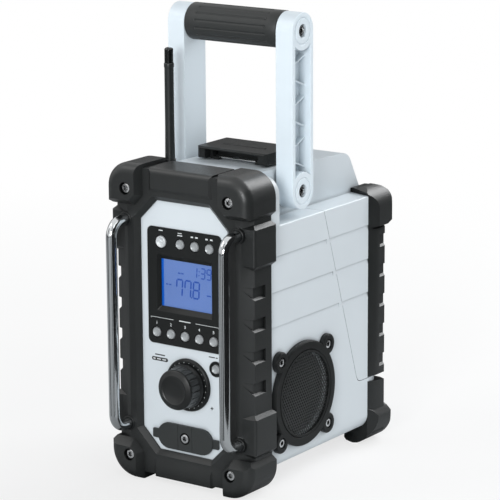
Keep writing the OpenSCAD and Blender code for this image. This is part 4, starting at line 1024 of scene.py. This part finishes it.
class RADIO_OT_trim(bpy.types.Operator):
    """Dark moulded parts: bezel, port cover, latch, scan ring and antenna socket"""

    bl_idname = "radio.trim"
    bl_label = "Dark trim"

    def execute(self, context):
        for node, material, width in (
            ("display_bezel", "dark_abs", 0.0005),
            ("port_cover_hub", "cover_rubber", 0.0006),
            ("port_flap_left", "cover_rubber", 0.0006),
            ("port_flap_right", "cover_rubber", 0.0006),
            ("latch_lever", "latch_nylon", 0.0007),
            ("latch_catch", "latch_nylon", 0.0005),
            ("scan_ring", "dark_abs", 0.0004),
            ("antenna_socket", "dark_abs", 0.0004),
        ):
            softened(node, material, width)

        # a web under the lever, behind its wire
        lo, hi, _ = extent("latch_lever")
        web = panes((lo[0] + 9, lo[2] + 1.9, hi[0] - 9, hi[2] - 3))
        plates("latch_web", web, -5.0, -3.6, "latch_nylon", "latch")
        # painted shade: a flat black ring for the shadowed recess round the cover's screw
        lo, _, (x, _, z) = extent("port_cover_hub")
        at = (x, lo[1], z)
        gap = turned("cover_recess", washer(3.3, 5.7, 0), at, FORWARD, "recess_black", 48)
        return {"FINISHED"}


# ---------------- stage


def sheet(name, corners, material):
    """A flat piece of the stage with four corners, in metres."""
    mesh = bpy.data.meshes.new(name)
    mesh.from_pydata(corners, [], [(0, 1, 2, 3)])
    mesh.materials.append(material)
    return linked(name, mesh)


def pale_floor():
    """Painted board, matt white: it keeps the shadow and bounces light to the undersides. In gloss
    it is a shade greyer, so that dark surfaces near it stay dark; far off the camera sees white."""
    made, tree = blank("pale_floor")
    coords = add(tree, "TexCoord")
    tone = drifting(tree, coords, 6.0, 2.0, linear("#F2F2F2"), linear("#F5F5F5"))
    plain = add(tree, "BsdfDiffuse", [("Color", tone, "Color")])
    grey = add(tree, "BsdfDiffuse", Color=linear("#BCBEBF"))
    glow = add(tree, "Emission", Color=(1, 1, 1, 1), Strength=1.0)
    rays = add(tree, "LightPath")
    layers = [(0, rays, "Is Glossy Ray"), (1, plain, "BSDF"), (2, grey, "BSDF")]
    matt = add(tree, "MixShader", layers)
    away = add(tree, "VectorMath", [(0, coords, "Object")], operation="LENGTH")
    fade = mapped(tree, away, "Value", 0.72, 1.0, 0.3, 1.3)
    factors = [(0, rays, "Is Camera Ray"), (1, fade, "Result")]
    share = add(tree, "Math", factors, operation="MULTIPLY")
    layers = [(0, share, "Value"), (1, matt, "Shader"), (2, glow, "Emission")]
    both = add(tree, "MixShader", layers)
    add(tree, "OutputMaterial", [("Surface", both, "Shader")])
    return made


def studio():
    """A world whose white backdrop is seen by the eye, gloss and clear pieces, while matt surfaces
    get a softer light."""
    world = bpy.data.worlds.new("studio")
    world.use_nodes = True
    tree = world.node_tree
    tree.nodes.clear()
    rays = add(tree, "LightPath")
    light = add(tree, "Background", Color=(0.96, 0.98, 1.0, 1), Strength=0.25)
    white = add(tree, "Background", Color=(1, 1, 1, 1), Strength=1.0)
    factors = [(0, rays, "Is Camera Ray"), (1, rays, "Is Glossy Ray")]
    seen = add(tree, "Math", factors, operation="MAXIMUM")
    factors = [(0, seen, "Value"), (1, rays, "Is Transmission Ray")]
    whole = add(tree, "Math", factors, operation="MAXIMUM")
    layers = [(0, whole, "Value"), (1, light, "Background"), (2, white, "Background")]
    last = add(tree, "MixShader", layers)
    add(tree, "OutputWorld", [("Surface", last, "Shader")])
    return world


class RADIO_OT_stage(bpy.types.Operator):
    """Floor, soft light and the camera"""

    bl_idname = "radio.stage"
    bl_label = "Stage"

    def execute(self, context):
        scene = context.scene
        span = 9.0
        corners = [(-span, -span, 0), (span, -span, 0), (span, span, 0), (-span, span, 0)]
        ground = sheet("floor", corners, pale_floor())

        scene.world = studio()

        # black cards, seen by gloss alone: they draw the dark streaks in bright metal
        for name, x0, y0, x1, y1, high in (
            ("card_left", -0.200, -0.235, -0.150, -0.245, 0.42),
            ("card_middle", -0.016, -0.245, 0.010, -0.245, 0.42),
            ("card_front", 0.058, -0.250, 0.096, -0.250, 0.42),
            ("card_corner", 0.22, -0.42, 0.30, -0.24, 0.50),
            ("card_right", 0.30, -0.24, 0.34, 0.80, 0.60),
            ("card_rear", -1.10, 0.10, -0.20, 0.75, 0.60),
        ):
            corners = [(x0, y0, 0), (x1, y1, 0), (x1, y1, high), (x0, y0, high)]
            card = sheet(name, corners, finish("black_card"))
            for ray in ("camera", "diffuse", "shadow", "transmission"):
                setattr(card, "visible_" + ray, False)

        target = Vector((0.0, 0.0, 0.2))
        for name, at, side, power, tint in (
            ("key_light", (-1.7, -1.6, 2.4), 1.3, 12.0, (1.0, 0.99, 0.975)),
            ("front_light", (0.95, -2.6, 0.95), 0.8, 46.0, (0.97, 0.985, 1.0)),
            ("side_light", (2.3, -0.7, 1.9), 2.0, 10.0, (0.98, 0.99, 1.0)),
            ("back_light", (0.50, 1.8, 1.45), 1.4, 38.0, (0.97, 0.985, 1.0)),
        ):
            lamp = bpy.data.lights.new(name, "AREA")
            lamp.shape = "RECTANGLE"
            lamp.size, lamp.size_y = side, side
            lamp.energy = power
            lamp.color = tint
            holder = linked(name, lamp)
            holder.location = at
            holder.rotation_euler = (target - holder.location).to_track_quat("-Z", "Y").to_euler()

        # the camera looks from the right, 35.25 degrees round and 13.5 degrees up, rolled a little
        turn, rise, roll = math.radians(35.25), math.radians(13.50), math.radians(-0.35)
        level = math.cos(rise)
        ahead = Vector((-math.sin(turn) * level, math.cos(turn) * level, -math.sin(rise)))
        right = Vector((math.cos(turn), math.sin(turn), 0))
        upward = right.cross(ahead)
        across = right * math.cos(roll) + upward * math.sin(roll)
        upright = upward * math.cos(roll) - right * math.sin(roll)
        lens = bpy.data.cameras.new("camera")
        lens.lens = 182.2
        lens.sensor_width = 36.0
        lens.clip_end = 60.0
        eye = linked("camera", lens)
        pose = Matrix((across, upright, -ahead)).transposed().to_4x4()
        pose.translation = Vector((1.3520, -1.9078, 0.7689))
        eye.matrix_world = pose
        scene.camera = eye
        scene.view_settings.view_transform = "Standard"
        return {"FINISHED"}


class RADIO_PT_panel(bpy.types.Panel):
    """Lists the operators, and the radio's sizes and colours"""

    bl_label = "Jobsite radio"
    bl_idname = "RADIO_PT_panel"
    bl_space_type = "VIEW_3D"
    bl_region_type = "UI"
    bl_category = "Radio"

    def draw(self, context):
        for step in STEPS:
            self.layout.operator(step.bl_idname)
        for group in (context.scene.radio_sizes, context.scene.radio_colours):
            for name in group.__annotations__:
                self.layout.prop(group, name)


STEPS = (
    RADIO_OT_small_parts,
    RADIO_OT_shells,
    RADIO_OT_bumpers,
    RADIO_OT_trim,
    RADIO_OT_keys,
    RADIO_OT_display,
    RADIO_OT_knob,
    RADIO_OT_grip,
    RADIO_OT_speakers,
    RADIO_OT_screws,
    RADIO_OT_bars,
    RADIO_OT_stage,
)


KINDS = (RadioSizes, RadioColours, *STEPS, RADIO_PT_panel)


def register():
    for kind in KINDS:
        bpy.utils.register_class(kind)
    bpy.types.Scene.radio_sizes = PointerProperty(type=RadioSizes)
    bpy.types.Scene.radio_colours = PointerProperty(type=RadioColours)


def unregister():
    del bpy.types.Scene.radio_colours
    del bpy.types.Scene.radio_sizes
    for kind in reversed(KINDS):
        bpy.utils.unregister_class(kind)


def main():
    register()
    for step in STEPS:
        group, name = step.bl_idname.split(".")
        getattr(getattr(bpy.ops, group), name)()


if __name__ == "__main__":
    main()
